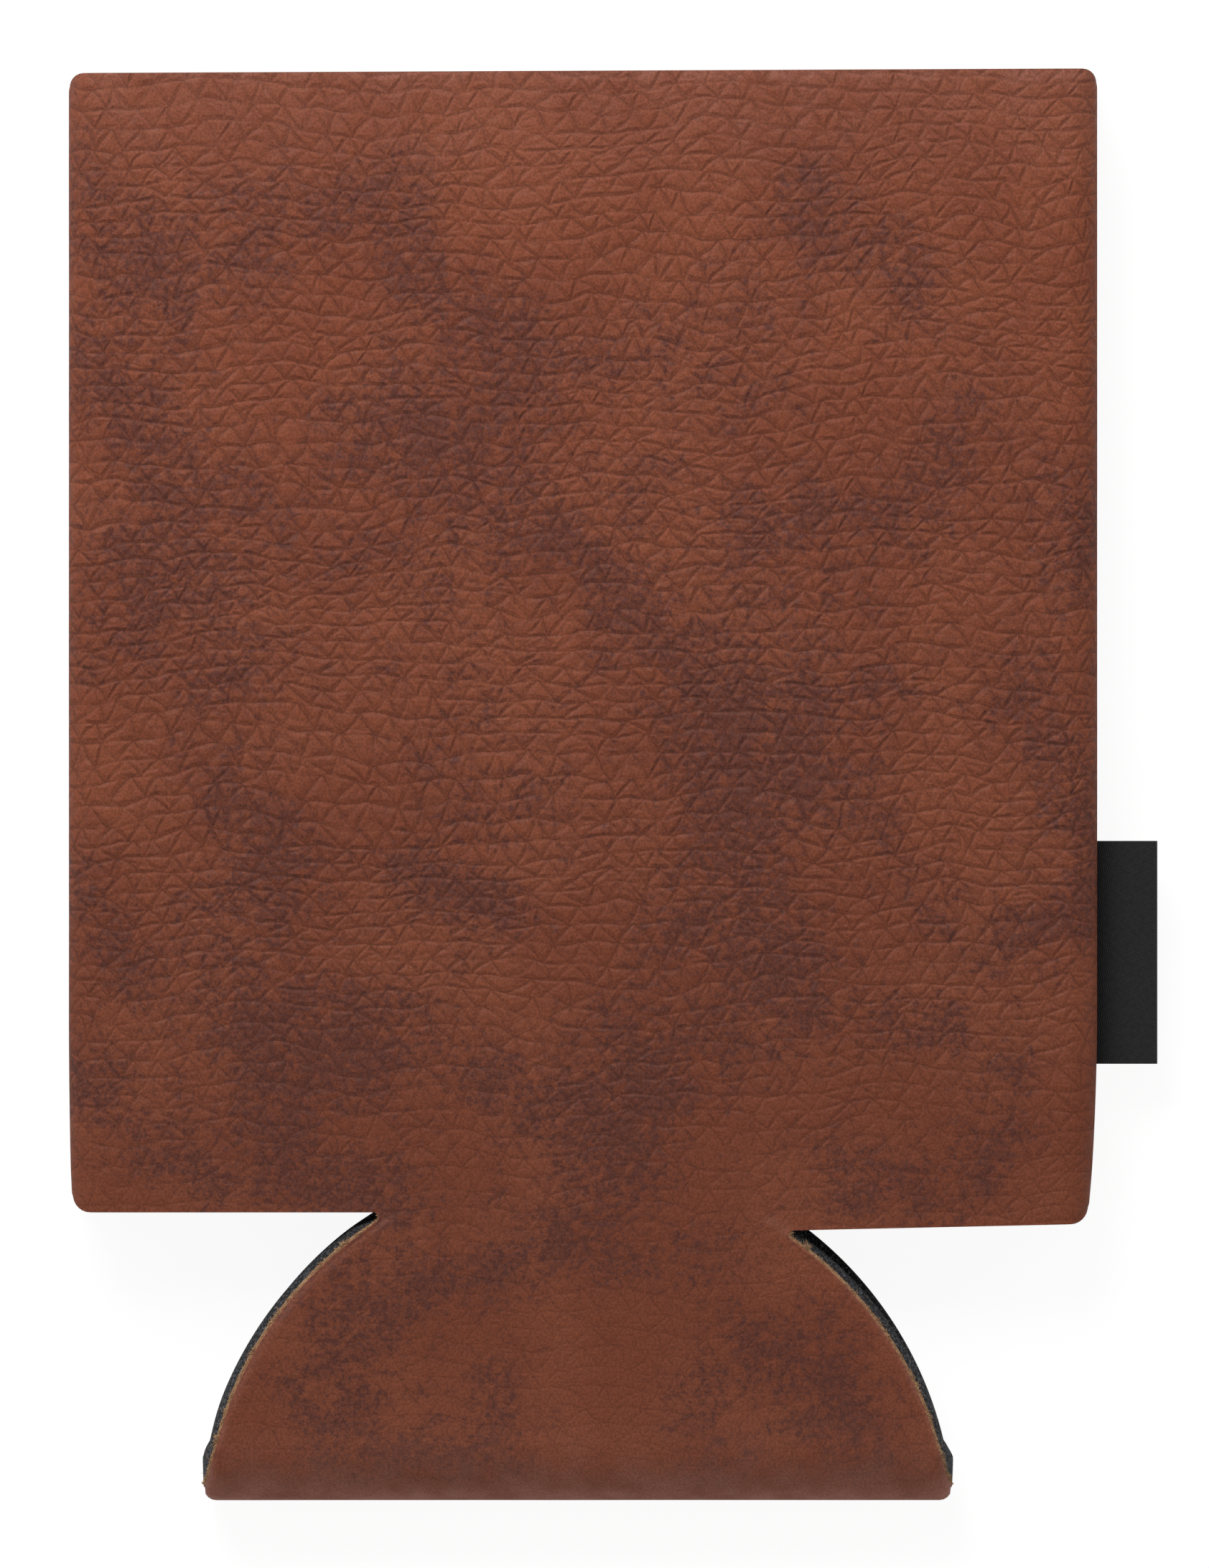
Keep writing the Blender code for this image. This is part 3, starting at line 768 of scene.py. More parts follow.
class Recipe:
    """Adds nodes to a tree one after the other. An input takes a value or another node's socket."""

    def __init__(self, tree):
        self.tree = tree
        self.count = 0

    def add(self, kind, inputs=(), **settings):
        made = self.tree.nodes.new(kind)
        made.location = (190 * (self.count % 12), -260 * (self.count // 12))
        self.count += 1
        for name, value in settings.items():
            setattr(made, name, value)
        for name, value in dict(inputs).items():
            self.feed(made.inputs[name], value)
        return made

    def feed(self, socket, value):
        if isinstance(value, bpy.types.NodeSocket):
            self.tree.links.new(value, socket)
        else:
            socket.default_value = value

    def math(self, operation, first, second=0.0, third=0.0):
        made = self.add("ShaderNodeMath", {0: first, 1: second, 2: third}, operation=operation)
        return made.outputs[0]

    def times(self, first, second):
        return self.math("MULTIPLY", first, second)

    def minus(self, first, second):
        return self.math("SUBTRACT", first, second)

    def vector(self, operation, first, second):
        made = self.add("ShaderNodeVectorMath", {0: first, 1: second}, operation=operation)
        return made.outputs["Vector"]

    def scaled(self, vector, amount):
        made = self.add("ShaderNodeVectorMath", {"Vector": vector, "Scale": amount}, operation="SCALE")
        return made.outputs["Vector"]

    def rise(self, value, low, high, start=0.0, end=1.0):
        """A smooth rise from start, where value is low, to end, where it is high."""
        inputs = {"Value": value, "From Min": low, "From Max": high, "To Min": start, "To Max": end}
        made = self.add("ShaderNodeMapRange", inputs, interpolation_type="SMOOTHSTEP")
        return made.outputs["Result"]

    def cloud(self, place, size, detail=2.0, output="Fac", space="2D", roughness=0.5):
        inputs = {"Vector": place, "Scale": 1.0 / size, "Detail": detail, "Roughness": roughness}
        made = self.add("ShaderNodeTexNoise", inputs, noise_dimensions=space)
        return made.outputs[output]

    def cells(self, place, cell, feature, output, space="2D", randomness=1.0):
        """A cell pattern with cells of that length and height."""
        fitted = self.vector("DIVIDE", place, (cell[0], cell[1], cell[-1]))
        inputs = {"Vector": fitted, "Scale": 1.0, "Randomness": randomness}
        made = self.add("ShaderNodeTexVoronoi", inputs, feature=feature, voronoi_dimensions=space)
        return made.outputs[output]

    def mix(self, share, first, second, blend="MIX"):
        inputs = {0: share, 6: first, 7: second}
        made = self.add("ShaderNodeMix", inputs, data_type="RGBA", blend_type=blend)
        return made.outputs[2]

    def split(self, vector):
        return self.add("ShaderNodeSeparateXYZ", {0: vector}).outputs

    def attribute(self, name, output="Fac"):
        return self.add("ShaderNodeAttribute", attribute_name=name).outputs[output]

    def object_place(self):
        return self.add("ShaderNodeTexCoord").outputs["Object"]

    def shaded(self, colour_value, shade):
        """A colour times a grey."""
        grey = self.add("ShaderNodeCombineColor", {0: shade, 1: shade, 2: shade}).outputs[0]
        return self.mix(1.0, colour_value, grey, blend="MULTIPLY")

    def paint(self, shader, colour_value):
        self.feed(shader.inputs["Base Color"], colour_value)

    def bump(self, shader, height, strength, distance):
        made = self.add("ShaderNodeBump", {"Height": height, "Strength": strength, "Distance": distance})
        self.feed(shader.inputs["Normal"], made.outputs[0])


# How the creases wander: over what distance, and by how much
WANDERINGS = (
    (0.0160, 0.0040),
    (0.0040, 0.0011),
    (0.0009, 0.00010),
)

# Least and most depth of the creases between the rows of pebbles, of those within a row, and of the
# stray ones that cross both
ROW_DEPTHS = (0.38, 0.95)
CROSS_DEPTHS = (0.50, 0.95)
STRAY_DEPTHS = (0.0, 0.45)


def crease_lines(recipe, place, leather):
    """The creases that part the pebbles: wavy rows, each cut by a zigzag, and stray ones across them.

    Gives for each kind how far a point is from the nearest crease, as a share of a row's height, and
    how deep the crease is there.
    """
    wavy = place
    for distance, amount in WANDERINGS:
        drift = recipe.cloud(place, distance, detail=0.0, output="Color")
        drift = recipe.scaled(recipe.vector("SUBTRACT", drift, (0.5, 0.5, 0.5)), amount)
        wavy = recipe.vector("ADD", wavy, drift)
    cell = (leather.pebble_length, leather.pebble_height, 1.0)
    across, up, _ = recipe.split(recipe.vector("DIVIDE", wavy, cell))
    row = recipe.math("FLOOR", up)
    within = recipe.math("FRACT", up)
    start = recipe.add("ShaderNodeTexWhiteNoise", {"W": row}, noise_dimensions="1D").outputs["Value"]
    across = recipe.math("MULTIPLY_ADD", start, 9.0, across)
    uneven = recipe.add("ShaderNodeCombineXYZ", {0: across, 1: recipe.times(row, 7.3)})
    uneven = recipe.cloud(uneven.outputs[0], 1.6, detail=0.0)
    across = recipe.math("MULTIPLY_ADD", uneven, 1.0, across)
    zigzag = recipe.math("PINGPONG", across, 1.0)
    gap = recipe.math("ABSOLUTE", recipe.minus(within, zigzag))
    lean = leather.pebble_length / math.hypot(leather.pebble_length, leather.pebble_height)
    depths = recipe.split(recipe.cloud(place, 0.0026, detail=0.0, output="Color"))
    stray_cell = (1.9 * leather.pebble_length, 1.15 * leather.pebble_height)
    stray = recipe.cells(wavy, stray_cell, "DISTANCE_TO_EDGE", "Distance", randomness=0.85)
    return (
        (recipe.math("PINGPONG", up, 0.5), recipe.rise(depths[0], 0.36, 0.56, *ROW_DEPTHS)),
        (recipe.times(gap, lean), recipe.rise(depths[1], 0.36, 0.56, *CROSS_DEPTHS)),
        (recipe.times(stray, 1.2), recipe.rise(depths[2], 0.36, 0.56, *STRAY_DEPTHS)),
    )


def pebble_height(recipe, lines, width):
    """Height of the pebbled surface, from 0 in the deepest crease to 1, with valleys of that width."""
    height = None
    for gap, depth in lines:
        valley = recipe.times(recipe.rise(gap, 0.0, width, 1.0, 0.0), depth)
        kept = recipe.math("MULTIPLY_ADD", valley, -0.85, 1.0)
        height = kept if height is None else recipe.times(height, kept)
    return height


def relief_tree(leather):
    """Geometry nodes that press the grain into the skin, always inwards."""
    tree = bpy.data.node_groups.new("pressed_grain", "GeometryNodeTree")
    tree.interface.new_socket("Geometry", in_out="INPUT", socket_type="NodeSocketGeometry")
    tree.interface.new_socket("Geometry", in_out="OUTPUT", socket_type="NodeSocketGeometry")
    recipe = Recipe(tree)
    entry = recipe.add("NodeGroupInput")
    place, grain, settle = [
        recipe.add("GeometryNodeInputNamedAttribute", {"Name": name}, data_type=kind).outputs[0]
        for name, kind in (("blank", "FLOAT_VECTOR"), ("grain", "FLOAT"), ("settle", "FLOAT"))
    ]
    height = pebble_height(recipe, crease_lines(recipe, place, leather), 0.42)
    pressed = recipe.times(recipe.minus(height, 1.0), leather.relief)
    pressed = recipe.times(pressed, grain)
    swell = recipe.cloud(place, 0.024, detail=1.0)
    swell = recipe.times(recipe.minus(swell, 1.0), leather.unevenness)
    pressed = recipe.times(recipe.math("ADD", pressed, swell), settle)
    normal = recipe.add("GeometryNodeInputNormal")
    offset = recipe.scaled(normal.outputs[0], pressed)
    moved = recipe.add("GeometryNodeSetPosition", {"Geometry": entry.outputs[0], "Offset": offset})
    leave = recipe.add("NodeGroupOutput")
    recipe.feed(leave.inputs[0], moved.outputs[0])
    return tree


def press_grain(piece, leather):
    modifier = piece.modifiers.new("grain", "NODES")
    modifier.node_group = relief_tree(leather)
    graph = bpy.context.evaluated_depsgraph_get()
    pressed = bpy.data.meshes.new_from_object(piece.evaluated_get(graph))
    plain = piece.data
    piece.modifiers.clear()
    piece.data = pressed
    bpy.data.meshes.remove(plain)
    pressed.name = piece.name
    pressed.attributes.remove(pressed.attributes["settle"])
    pressed.set_sharp_from_angle(angle=math.radians(55))


def new_material(name, shader_values):
    material = bpy.data.materials.new(name)
    material.use_nodes = True
    shader = material.node_tree.nodes["Principled BSDF"]
    for socket, value in shader_values.items():
        shader.inputs[socket].default_value = value
    return material, shader, Recipe(material.node_tree)


def full(colour_value):
    """A colour with no transparency."""
    return (*colour_value, 1.0)


def leather_material(leather):
    material, shader, recipe = new_material("leatherette", {"Specular IOR Level": 0.30, "IOR": 1.33})
    place = recipe.attribute("blank", "Vector")
    grain = recipe.attribute("grain")
    marks = recipe.attribute("marks")
    wear_and_sheen = recipe.attribute("wear_and_sheen")
    lines = crease_lines(recipe, place, leather)
    height = pebble_height(recipe, lines, 0.24)
    core = pebble_height(recipe, lines, 0.075)
    wrinkle = recipe.cells(place, (0.0011, 0.0009), "DISTANCE_TO_EDGE", "Distance")
    wrinkle = recipe.rise(wrinkle, 0.0, 0.14)

    tone = recipe.rise(recipe.cloud(place, 0.016), 0.32, 0.68)
    brown = recipe.mix(tone, full(leather.deep), full(leather.warm))
    wander = recipe.cloud(place, 0.0034, detail=1.0)
    wander = recipe.times(recipe.minus(wander, 0.5), 1.1)
    stipple = recipe.cloud(place, 0.0011, detail=3.0, roughness=0.68)
    stipple = recipe.times(recipe.minus(stipple, 0.5), 2.1)
    rough_print = recipe.math("ADD", wander, stipple)
    rough_print = recipe.times(rough_print, recipe.math("ADD", marks, 0.30))
    inked = recipe.math("MULTIPLY_ADD", marks, 1.1, rough_print)
    inked = recipe.rise(inked, 0.04, 1.10)
    specks = recipe.rise(recipe.cloud(place, 0.00060, detail=1.0, roughness=0.6), 0.47, 0.60)
    inked = recipe.times(inked, recipe.math("MULTIPLY_ADD", specks, 0.75, 0.68))
    stray_ink = recipe.times(recipe.rise(rough_print, 0.02, 0.40), specks)
    inked = recipe.math("MULTIPLY_ADD", stray_ink, 0.22, inked)
    brown = recipe.mix(inked, brown, full(leather.mark))

    # Painted shade in the creases of the grain and in its fine wrinkles
    crease_shade = recipe.times(recipe.minus(1.0, core), recipe.rise(grain, 0.0, 1.0, 0.5, 1.0))
    wrinkle_shade = recipe.times(recipe.minus(1.0, wrinkle), 0.03)
    crease_shade = recipe.math("MULTIPLY_ADD", crease_shade, 0.60, wrinkle_shade)
    brown = recipe.mix(crease_shade, brown, full(leather.crease))
    # Paler coat: rubbed by the cut edge, with painted sheen over the fold and a painted highlight and sheen
    # by the mouth
    rubbed = recipe.times(wear_and_sheen, recipe.rise(wander, -0.5, 0.5, 0.15, 0.55))
    brown = recipe.mix(rubbed, brown, full(leather.wear_and_sheen))
    parts = recipe.split(recipe.scaled(place, 2 * math.pi / leather.screen))
    hatch = recipe.times(recipe.math("SINE", parts[0]), recipe.math("SINE", parts[1]))
    dust = recipe.rise(recipe.cloud(place, 0.00024, detail=0.0), 0.30, 0.70, 0.88, 1.12)
    shade = recipe.times(recipe.math("MULTIPLY_ADD", hatch, 0.06, 1.0), dust)
    # Painted light: the colour is brighter towards the mouth, where the lamp hangs, and darker towards the
    # hem and the base
    from_fold = recipe.math("ABSOLUTE", recipe.split(place)[1])
    shade = recipe.times(recipe.rise(from_fold, 0.020, 0.115, 0.87, 1.02), shade)
    recipe.paint(shader, recipe.shaded(brown, shade))

    rough = recipe.rise(recipe.cloud(place, 0.0012, detail=1.0), 0.3, 0.7, 0.56, 0.70)
    recipe.feed(shader.inputs["Roughness"], rough)

    pressed = recipe.times(height, grain)
    pressed = recipe.math("MULTIPLY_ADD", wrinkle, 0.04, pressed)
    pressed = recipe.math("MULTIPLY_ADD", recipe.cloud(place, 0.00035, detail=1.0), 0.16, pressed)
    recipe.bump(shader, pressed, 1.0, leather.bump)
    return material


def backing_material(edges):
    material, shader, recipe = new_material("backing_cloth", {"Roughness": 0.9, "Specular IOR Level": 0.2})
    place = recipe.object_place()
    tuft = recipe.cloud(place, 0.00045, detail=3.0, space="3D")
    share = recipe.rise(tuft, 0.35, 0.65)
    tan = recipe.mix(share, full([0.45 * value for value in edges.backing]), full(edges.backing))
    recipe.paint(shader, tan)
    recipe.bump(shader, tuft, 0.8, 0.00012)
    return material


def foam_material(edges):
    material, shader, recipe = new_material("foam", {"Specular IOR Level": 0.25})
    place = recipe.object_place()
    cell = (0.00026, 0.00026, 0.00026)
    cells = recipe.cells(place, cell, "F1", "Distance", space="3D")
    patch = recipe.cloud(place, 0.00028, space="3D", roughness=0.7)
    fleck = recipe.rise(patch, 0.46, 0.66)
    dark = recipe.mix(fleck, full(edges.foam), full(edges.fleck))
    pit = recipe.rise(cells, 0.15, 0.6, 1.0, 0.55)
    recipe.paint(shader, recipe.shaded(dark, pit))
    recipe.feed(shader.inputs["Roughness"], recipe.rise(patch, 0.3, 0.7, 0.95, 0.75))
    recipe.bump(shader, cells, 0.9, 0.0002)
    return material


class SLEEVE_OT_body(bpy.types.Operator):
    """Make the sleeve: leatherette, backing cloth and foam as one folded and sewn blank"""
    bl_idname = "can_sleeve.body"
    bl_label = "Sleeve Body"

    def execute(self, context):
        scene = context.scene
        leather = scene.sleeve_leather
        edges = scene.sleeve_edges
        blank = FoldedBlank(scene.sleeve_sizes, edges)
        materials = [leather_material(leather), backing_material(edges), foam_material(edges)]
        piece = new_piece("sleeve_body", sleeve_mesh(blank, leather), materials)
        press_grain(piece, leather)
        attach(piece, BODY)
        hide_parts("sleeve")
        return {"FINISHED"}


class SLEEVE_OT_fringe(bpy.types.Operator):
    """Fray the backing cloth along the cut edges of the base"""
    bl_idname = "can_sleeve.fringe"
    bl_label = "Frayed Edge"

    def execute(self, context):
        scene = context.scene
        edges = scene.sleeve_edges
        blank = FoldedBlank(scene.sleeve_sizes, edges)
        mesh = fringe_mesh(CutBlank(blank), edges)
        piece = new_piece("frayed_edge", mesh, [fibre_material(edges)])
        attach(piece, BODY)
        return {"FINISHED"}


def fringe_mesh(cut, edges):
    """Short bent spikes, rooted in the backing cloth along the base's edges."""
    random = np.random.default_rng(11)
    root = cut.rings[1][0]
    seen = (cut.bulge > 0) & (cut.place[:, 1] > 0.001)
    on_base = seen[cut.start] & seen[cut.end]
    start, end = cut.start[on_base], cut.end[on_base]
    lengths = np.linalg.norm(root[end] - root[start], axis=1)
    counts = random.poisson(lengths / MM * edges.fibres)
    picked = np.repeat(np.arange(len(start)), counts)
    each = (len(picked), 1)
    share = random.random(each)
    base = lerp(root[start[picked]], root[end[picked]], share)
    out = lerp(cut.out[start[picked]], cut.out[end[picked]], share)
    up = lerp(cut.normals[start[picked]], cut.normals[end[picked]], share)
    side = np.cross(out, up)
    base = base + up * random.normal(0.0, 0.00007, each) - out * 0.00008
    clump = lerp(0.45, 1.0, random.gamma(3.0, 0.27, (len(start), 1)))[picked]
    reach = edges.fibre_length * clump * random.gamma(4.0, 0.25, each)
    lean = random.normal(0.0, 0.90, each)
    lift = random.normal(0.05, 0.35, each)
    middle = base + reach * 0.55 * (out + 0.7 * lean * side + lift * up)
    lean_end = lean + random.normal(0.0, 0.5, each)
    lift_end = lift + random.normal(0.0, 0.4, each)
    tip = middle + reach * 0.45 * (out + lean_end * side + lift_end * up)
    width = edges.fibre_width * (0.6 + 0.8 * random.random(each))
    for centre in (base, middle, tip):
        centre[:, 2] = np.clip(centre[:, 2], 0.0001, SLEEVE_HIGH.z + 0.00015)
    rings = []
    for centre, radius in ((base, 0.5 * width), (middle, 0.36 * width)):
        for angle in (0.0, 2 * math.pi / 3, 4 * math.pi / 3):
            rings.append(centre + radius * (math.cos(angle) * side + math.sin(angle) * up))
    points = np.stack(rings + [tip], axis=1)
    pattern = ((2, 1, 0), (0, 1, 4, 3), (1, 2, 5, 4), (2, 0, 3, 5), (3, 4, 6), (4, 5, 6), (5, 3, 6))
    faces = [[7 * spike + corner for corner in face] for spike in range(len(points)) for face in pattern]
    return smooth_mesh("frayed_edge", points.reshape(-1, 3), faces)


def fibre_material(edges):
    material, shader, recipe = new_material("loose_fibres", {"Roughness": 0.85, "Specular IOR Level": 0.2})
    place = recipe.object_place()
    tone = recipe.rise(recipe.cloud(place, 0.0006, space="3D"), 0.35, 0.65)
    fibre = recipe.mix(tone, full(edges.backing), full(edges.fibre))
    recipe.paint(shader, fibre)
    return material


class LabelLook(bpy.types.PropertyGroup):
    """The ribbon label in the right seam"""
    ply: length("Ply", "Thickness of the ribbon", 0.0003)
    loop_gap: length("Loop gap", "Between the two plies", 0.0002)
    weave: length("Weave", "From one raised yarn to the next", 0.00028)
    ribbon: colour("Ribbon", "Colour of the woven ribbon", (0.0095, 0.0095, 0.0100))
    yarn: colour("Yarn", "Colour of the raised yarns", (0.030, 0.030, 0.033))


class ThreadLook(bpy.types.PropertyGroup):
    """The looper threads of the side seams"""
    thread: length("Thread", "Thickness of the thread", 0.00035)
    pitch: length("Stitch pitch", "From one wrap round the allowances to the next", 0.0025)
    needle_margin: length("Needle margin", "From the roll to the needle's line", 0.0015)
    stitch_end: length("Stitch end", "From the rounded corner to the last wrap", 0.001)
    wrap_bevel: length("Wrap bevel", "How softly a wrap turns round the cut edges", 0.0005)
    clearance: length("Clearance", "Between the thread and the allowances", 0.0003)
    twist: length("Twist", "Length of one full turn of the thread's plies", 0.0016)
    colour: colour("Thread colour", "Colour of the seam thread", (0.020, 0.017, 0.016))


# Steps along a ply of the label, round its fold, and along the seam
PLY_STEPS = 44
LOOP_STEPS = 12
SEAM_STEPS = 72


def label_mesh(label):
    """A ribbon folded double at its outer end, with a ribbon's soft fold and even selvedges."""
    middle = (LABEL_LOW.z + LABEL_HIGH.z) / 2
    bend = (label.ply + label.loop_gap) / 2
    bend_x = LABEL_HIGH.x - label.ply - label.loop_gap / 2
    path = [(x, middle + bend, 0.0, 1.0) for x in spaced(LABEL_LOW.x, bend_x, PLY_STEPS)[:-1]]
    for angle in spaced(math.pi / 2, -math.pi / 2, LOOP_STEPS):
        turn = (math.cos(angle), math.sin(angle))
        path.append((bend_x + bend * turn[0], middle + bend * turn[1], *turn))
    path += [(x, middle - bend, 0.0, -1.0) for x in spaced(bend_x, LABEL_LOW.x, PLY_STEPS)[1:]]
    path = np.array(path)
    run = distances_along(path[:, :2])
    y = spaced(LABEL_LOW.y, LABEL_HIGH.y, SEAM_STEPS)
    points, places = [], []
    for side in (0.5, -0.5):
        x = path[:, 0] + side * label.ply * path[:, 2]
        z = path[:, 1] + side * label.ply * path[:, 3]
        grid = np.stack(np.broadcast_arrays(x[:, None], y[None], z[:, None]), axis=2)
        points.append(grid.reshape(-1, 3))
        spots = np.stack(np.broadcast_arrays(run[:, None], y[None], 0.0), axis=2)
        places.append(spots.reshape(-1, 3))
    rows, columns = len(path), len(y)
    number = np.arange(rows * columns).reshape(rows, columns)
    outer = skin_faces(number, np.ones((rows, columns), bool))[:, ::-1]
    start, end = boundary_edges(outer, rows * columns)
    shift_in = rows * columns
    rim = np.stack([end, start, start + shift_in, end + shift_in], axis=1)
    faces = np.concatenate([outer, outer[:, ::-1] + shift_in, rim])
    mesh = smooth_mesh("ribbon_label", np.concatenate(points), faces.tolist())
    add_values(mesh, "ribbon", np.concatenate(places))
    mesh.set_sharp_from_angle(angle=math.radians(50))
    return mesh


def ribbon_material(label):
    """Black woven ribbon: fine warp ribs crossed by weft, with raised yarns in slanting rows."""
    material, shader, recipe = new_material("woven_ribbon", {"Roughness": 0.78, "Specular IOR Level": 0.3})
    place = recipe.attribute("ribbon", "Vector")
    inputs = {"Vector": place, "Angle": math.radians(32)}
    slanted = recipe.add("ShaderNodeVectorRotate", inputs, rotation_type="Z_AXIS").outputs[0]
    parts = recipe.split(recipe.scaled(slanted, 2 * math.pi / label.weave))
    across = recipe.math("SINE", parts[0])
    along = recipe.math("SINE", parts[1])
    weave = recipe.math("MULTIPLY_ADD", recipe.times(across, along), 0.5, 0.5)
    lint = recipe.cloud(place, 0.0005, detail=3.0)
    raised = recipe.times(recipe.rise(weave, 0.45, 0.95), recipe.rise(lint, 0.2, 0.7))
    recipe.paint(shader, recipe.mix(raised, full(label.ribbon), full(label.yarn)))
    recipe.bump(shader, weave, 0.9, 0.00006)
    return material


class SLEEVE_OT_label(bpy.types.Operator):
    """Make the bare ribbon label that is caught in the right seam"""
    bl_idname = "can_sleeve.label"
    bl_label = "Ribbon Label"

    def execute(self, context):
        label = context.scene.sleeve_label
        piece = new_piece("ribbon_label", label_mesh(label), [ribbon_material(label)])
        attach(piece, BODY)
        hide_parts("label")
        return {"FINISHED"}


# Length and corners of a ply's facets, and how far the two plies press into each other
THREAD_STEP = 0.00018
PLY_CORNERS = 6
PLY_OVERLAP = 1.08


def thread_route(blank, thread, side):
    """Points of one looper thread, wrapped to and fro round the two allowances."""
    sizes = blank.sizes
    first = blank.hem + sizes.hem_corner + thread.stitch_end
    last = blank.mouth - sizes.mouth_corner - thread.stitch_end
    wraps = int((last - first) / thread.pitch) + 1
    slot_z = blank.height - sizes.wall - blank.slot / 2
    route = []
    for wrap in range(wraps):
        y = first + wrap * thread.pitch
        edge = float(blank.side_edge(np.array(y), side))
        needle_x = edge - blank.roll_radius - thread.needle_margin
        turn_x = edge - blank.roll_radius - sizes.allowance - thread.clearance - thread.thread / 2
        bevel = thread.wrap_bevel
        half = [(needle_x, slot_z), (turn_x + bevel, slot_z), (turn_x, slot_z - bevel)]
        points = half + [(x, blank.height - z) for x, z in reversed(half)]
        if wrap % 2:
            points.reverse()
        route += [(side * x, y, z) for x, z in points]
    return np.array(route)


def evenly_along(route, step):
    """Points at even distances along a route."""
    run = distances_along(route)
    stations = spaced(0.0, run[-1], steps_for(run[-1], step))
    return np.stack([np.interp(stations, run, route[:, axis]) for axis in range(3)], axis=1), stations


def carried_frames(points):
    """Two directions square to the route at each point, turned as little as possible along it."""
    runs = np.gradient(points, axis=0)
    runs /= np.linalg.norm(runs, axis=1, keepdims=True)
    first = Vector((0.0, 1.0, 0.0)) if abs(runs[0][1]) < 0.9 else Vector((1.0, 0.0, 0.0))
    frames = []
    previous = Vector(runs[0])
    normal = (first - first.dot(previous) * previous).normalized()
    for run in runs:
        run = Vector(run)
        normal.rotate(previous.rotation_difference(run))
        normal = (normal - normal.dot(run) * run).normalized()
        frames.append((normal.copy(), run.cross(normal)))
        previous = run
    return np.array([[tuple(a), tuple(b)] for a, b in frames])


def around(frames, angle):
    """Directions square to a route, at an angle in each of its frames."""
    return np.cos(angle)[:, None] * frames[:, 0] + np.sin(angle)[:, None] * frames[:, 1]


def thread_mesh(blank, thread, side, name):
    """Two plies twisted round each other along the route."""
    points, stations = evenly_along(thread_route(blank, thread, side), THREAD_STEP)
    frames = carried_frames(points)
    ply_radius = thread.thread / 4
    rings, faces = [], []
    for ply in (0.0, math.pi):
        turn = 2 * math.pi * stations / thread.twist + ply
        centre = points + ply_radius * around(frames, turn)
        ring = [len(points) * (len(rings) + corner) for corner in range(PLY_CORNERS)]
        for corner in range(PLY_CORNERS):
            angle = turn + 2 * math.pi * corner / PLY_CORNERS
            rings.append(centre + PLY_OVERLAP * ply_radius * around(frames, angle))
        for step in range(len(points) - 1):
            for a, b in zip(ring, ring[1:] + ring[:1]):
                faces.append((a + step, b + step, b + step + 1, a + step + 1))
        faces.append(ring[::-1])
        faces.append([number + len(points) - 1 for number in ring])
    return smooth_mesh(name, np.concatenate(rings), faces)


def thread_material(thread):
    material, shader, recipe = new_material("seam_thread", {"Roughness": 0.6, "Specular IOR Level": 0.4})
    place = recipe.object_place()
    fuzz = recipe.cloud(place, 0.00012, space="3D")
    dark = full([0.6 * value for value in thread.colour])
    pale = full([1.8 * value for value in thread.colour])
    recipe.paint(shader, recipe.mix(fuzz, dark, pale))
    recipe.bump(shader, fuzz, 0.5, 0.00003)
    return material


class SLEEVE_OT_threads(bpy.types.Operator):
    """Make the looper threads of the two side seams"""
    bl_idname = "can_sleeve.threads"
    bl_label = "Seam Threads"

    def execute(self, context):
        scene = context.scene
        thread = scene.sleeve_thread
        blank = FoldedBlank(scene.sleeve_sizes, scene.sleeve_edges)
        material = thread_material(thread)
        for node, side in (("seam_thread_left", LEFT), ("seam_thread_right", RIGHT)):
            name = "twisted_" + node
            piece = new_piece(name, thread_mesh(blank, thread, side, name), [material])
            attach(piece, BODY)
            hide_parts(node)
        return {"FINISHED"}


class StageLook(bpy.types.PropertyGroup):
    """Camera, lamp, world and floor"""
    lens: FloatProperty(
        name="Lens", description="Focal length of the camera, in millimetres", default=500.0, min=1.0,
        subtype="DISTANCE_CAMERA", unit="CAMERA",
    )
    lamp_power: FloatProperty(
        name="Lamp", description="Power of the lamp beyond the mouth", default=2.6, min=0.0, unit="POWER",
    )
    lamp_size: length("Lamp size", "Width of the lamp", 0.30)
    horizon: FloatProperty(
        name="Horizon", description="Strength of the light from the sides", default=1.0, min=0.0,
    )
    overhead: FloatProperty(
        name="Overhead", description="Strength of the light from above", default=0.25, min=0.0,
    )
    floor_size: length("Floor size", "Width of the floor", 4.0)
    floor_light: share_of("Floor light", "How much of the floor's white is its own", 0.92)
    floor_colour: colour("Floor", "Colour of the floor", (0.82, 0.82, 0.82))


class SLEEVE_OT_stage(bpy.types.Operator):
    """Set up the floor, the camera straight above and the soft light"""
    bl_idname = "can_sleeve.stage"
    bl_label = "Stage"

    def execute(self, context):
        scene = context.scene
        look = scene.sleeve_stage
        make_camera(scene, look)
        make_lamp(scene, look)
        make_world(scene, look)
        make_floor(scene, look)
        scene.view_settings.view_transform = "Standard"
        return {"FINISHED"}


def make_camera(scene, look):
    """The camera hangs over the middle of the photograph, at the height that gives its scale."""
    body_width = SLEEVE_HIGH.x - SLEEVE_LOW.x
    per_pixel = body_width / (BODY_RIGHT_PX - BODY_LEFT_PX)
    centre_x = (PHOTO_WIDTH / 2 - (BODY_LEFT_PX + BODY_RIGHT_PX) / 2) * per_pixel
    centre_y = -scene.sleeve_sizes.body_height / 2 + (LEFT_HEM_PX - PHOTO_HEIGHT / 2) * per_pixel
    data = bpy.data.cameras.new("camera")
    data.lens = look.lens
    distance = PHOTO_HEIGHT * per_pixel * data.lens / data.sensor_width
    data.clip_start = 0.01
    data.clip_end = 20.0
    camera = bpy.data.objects.new("camera", data)
    camera.location = (centre_x, centre_y, SLEEVE_HIGH.z + distance)
    scene.collection.objects.link(camera)
    scene.camera = camera


# Where the lamp hangs, beyond the mouth and a little to the left
LAMP_PLACE = (-0.13, 0.36, 0.42)


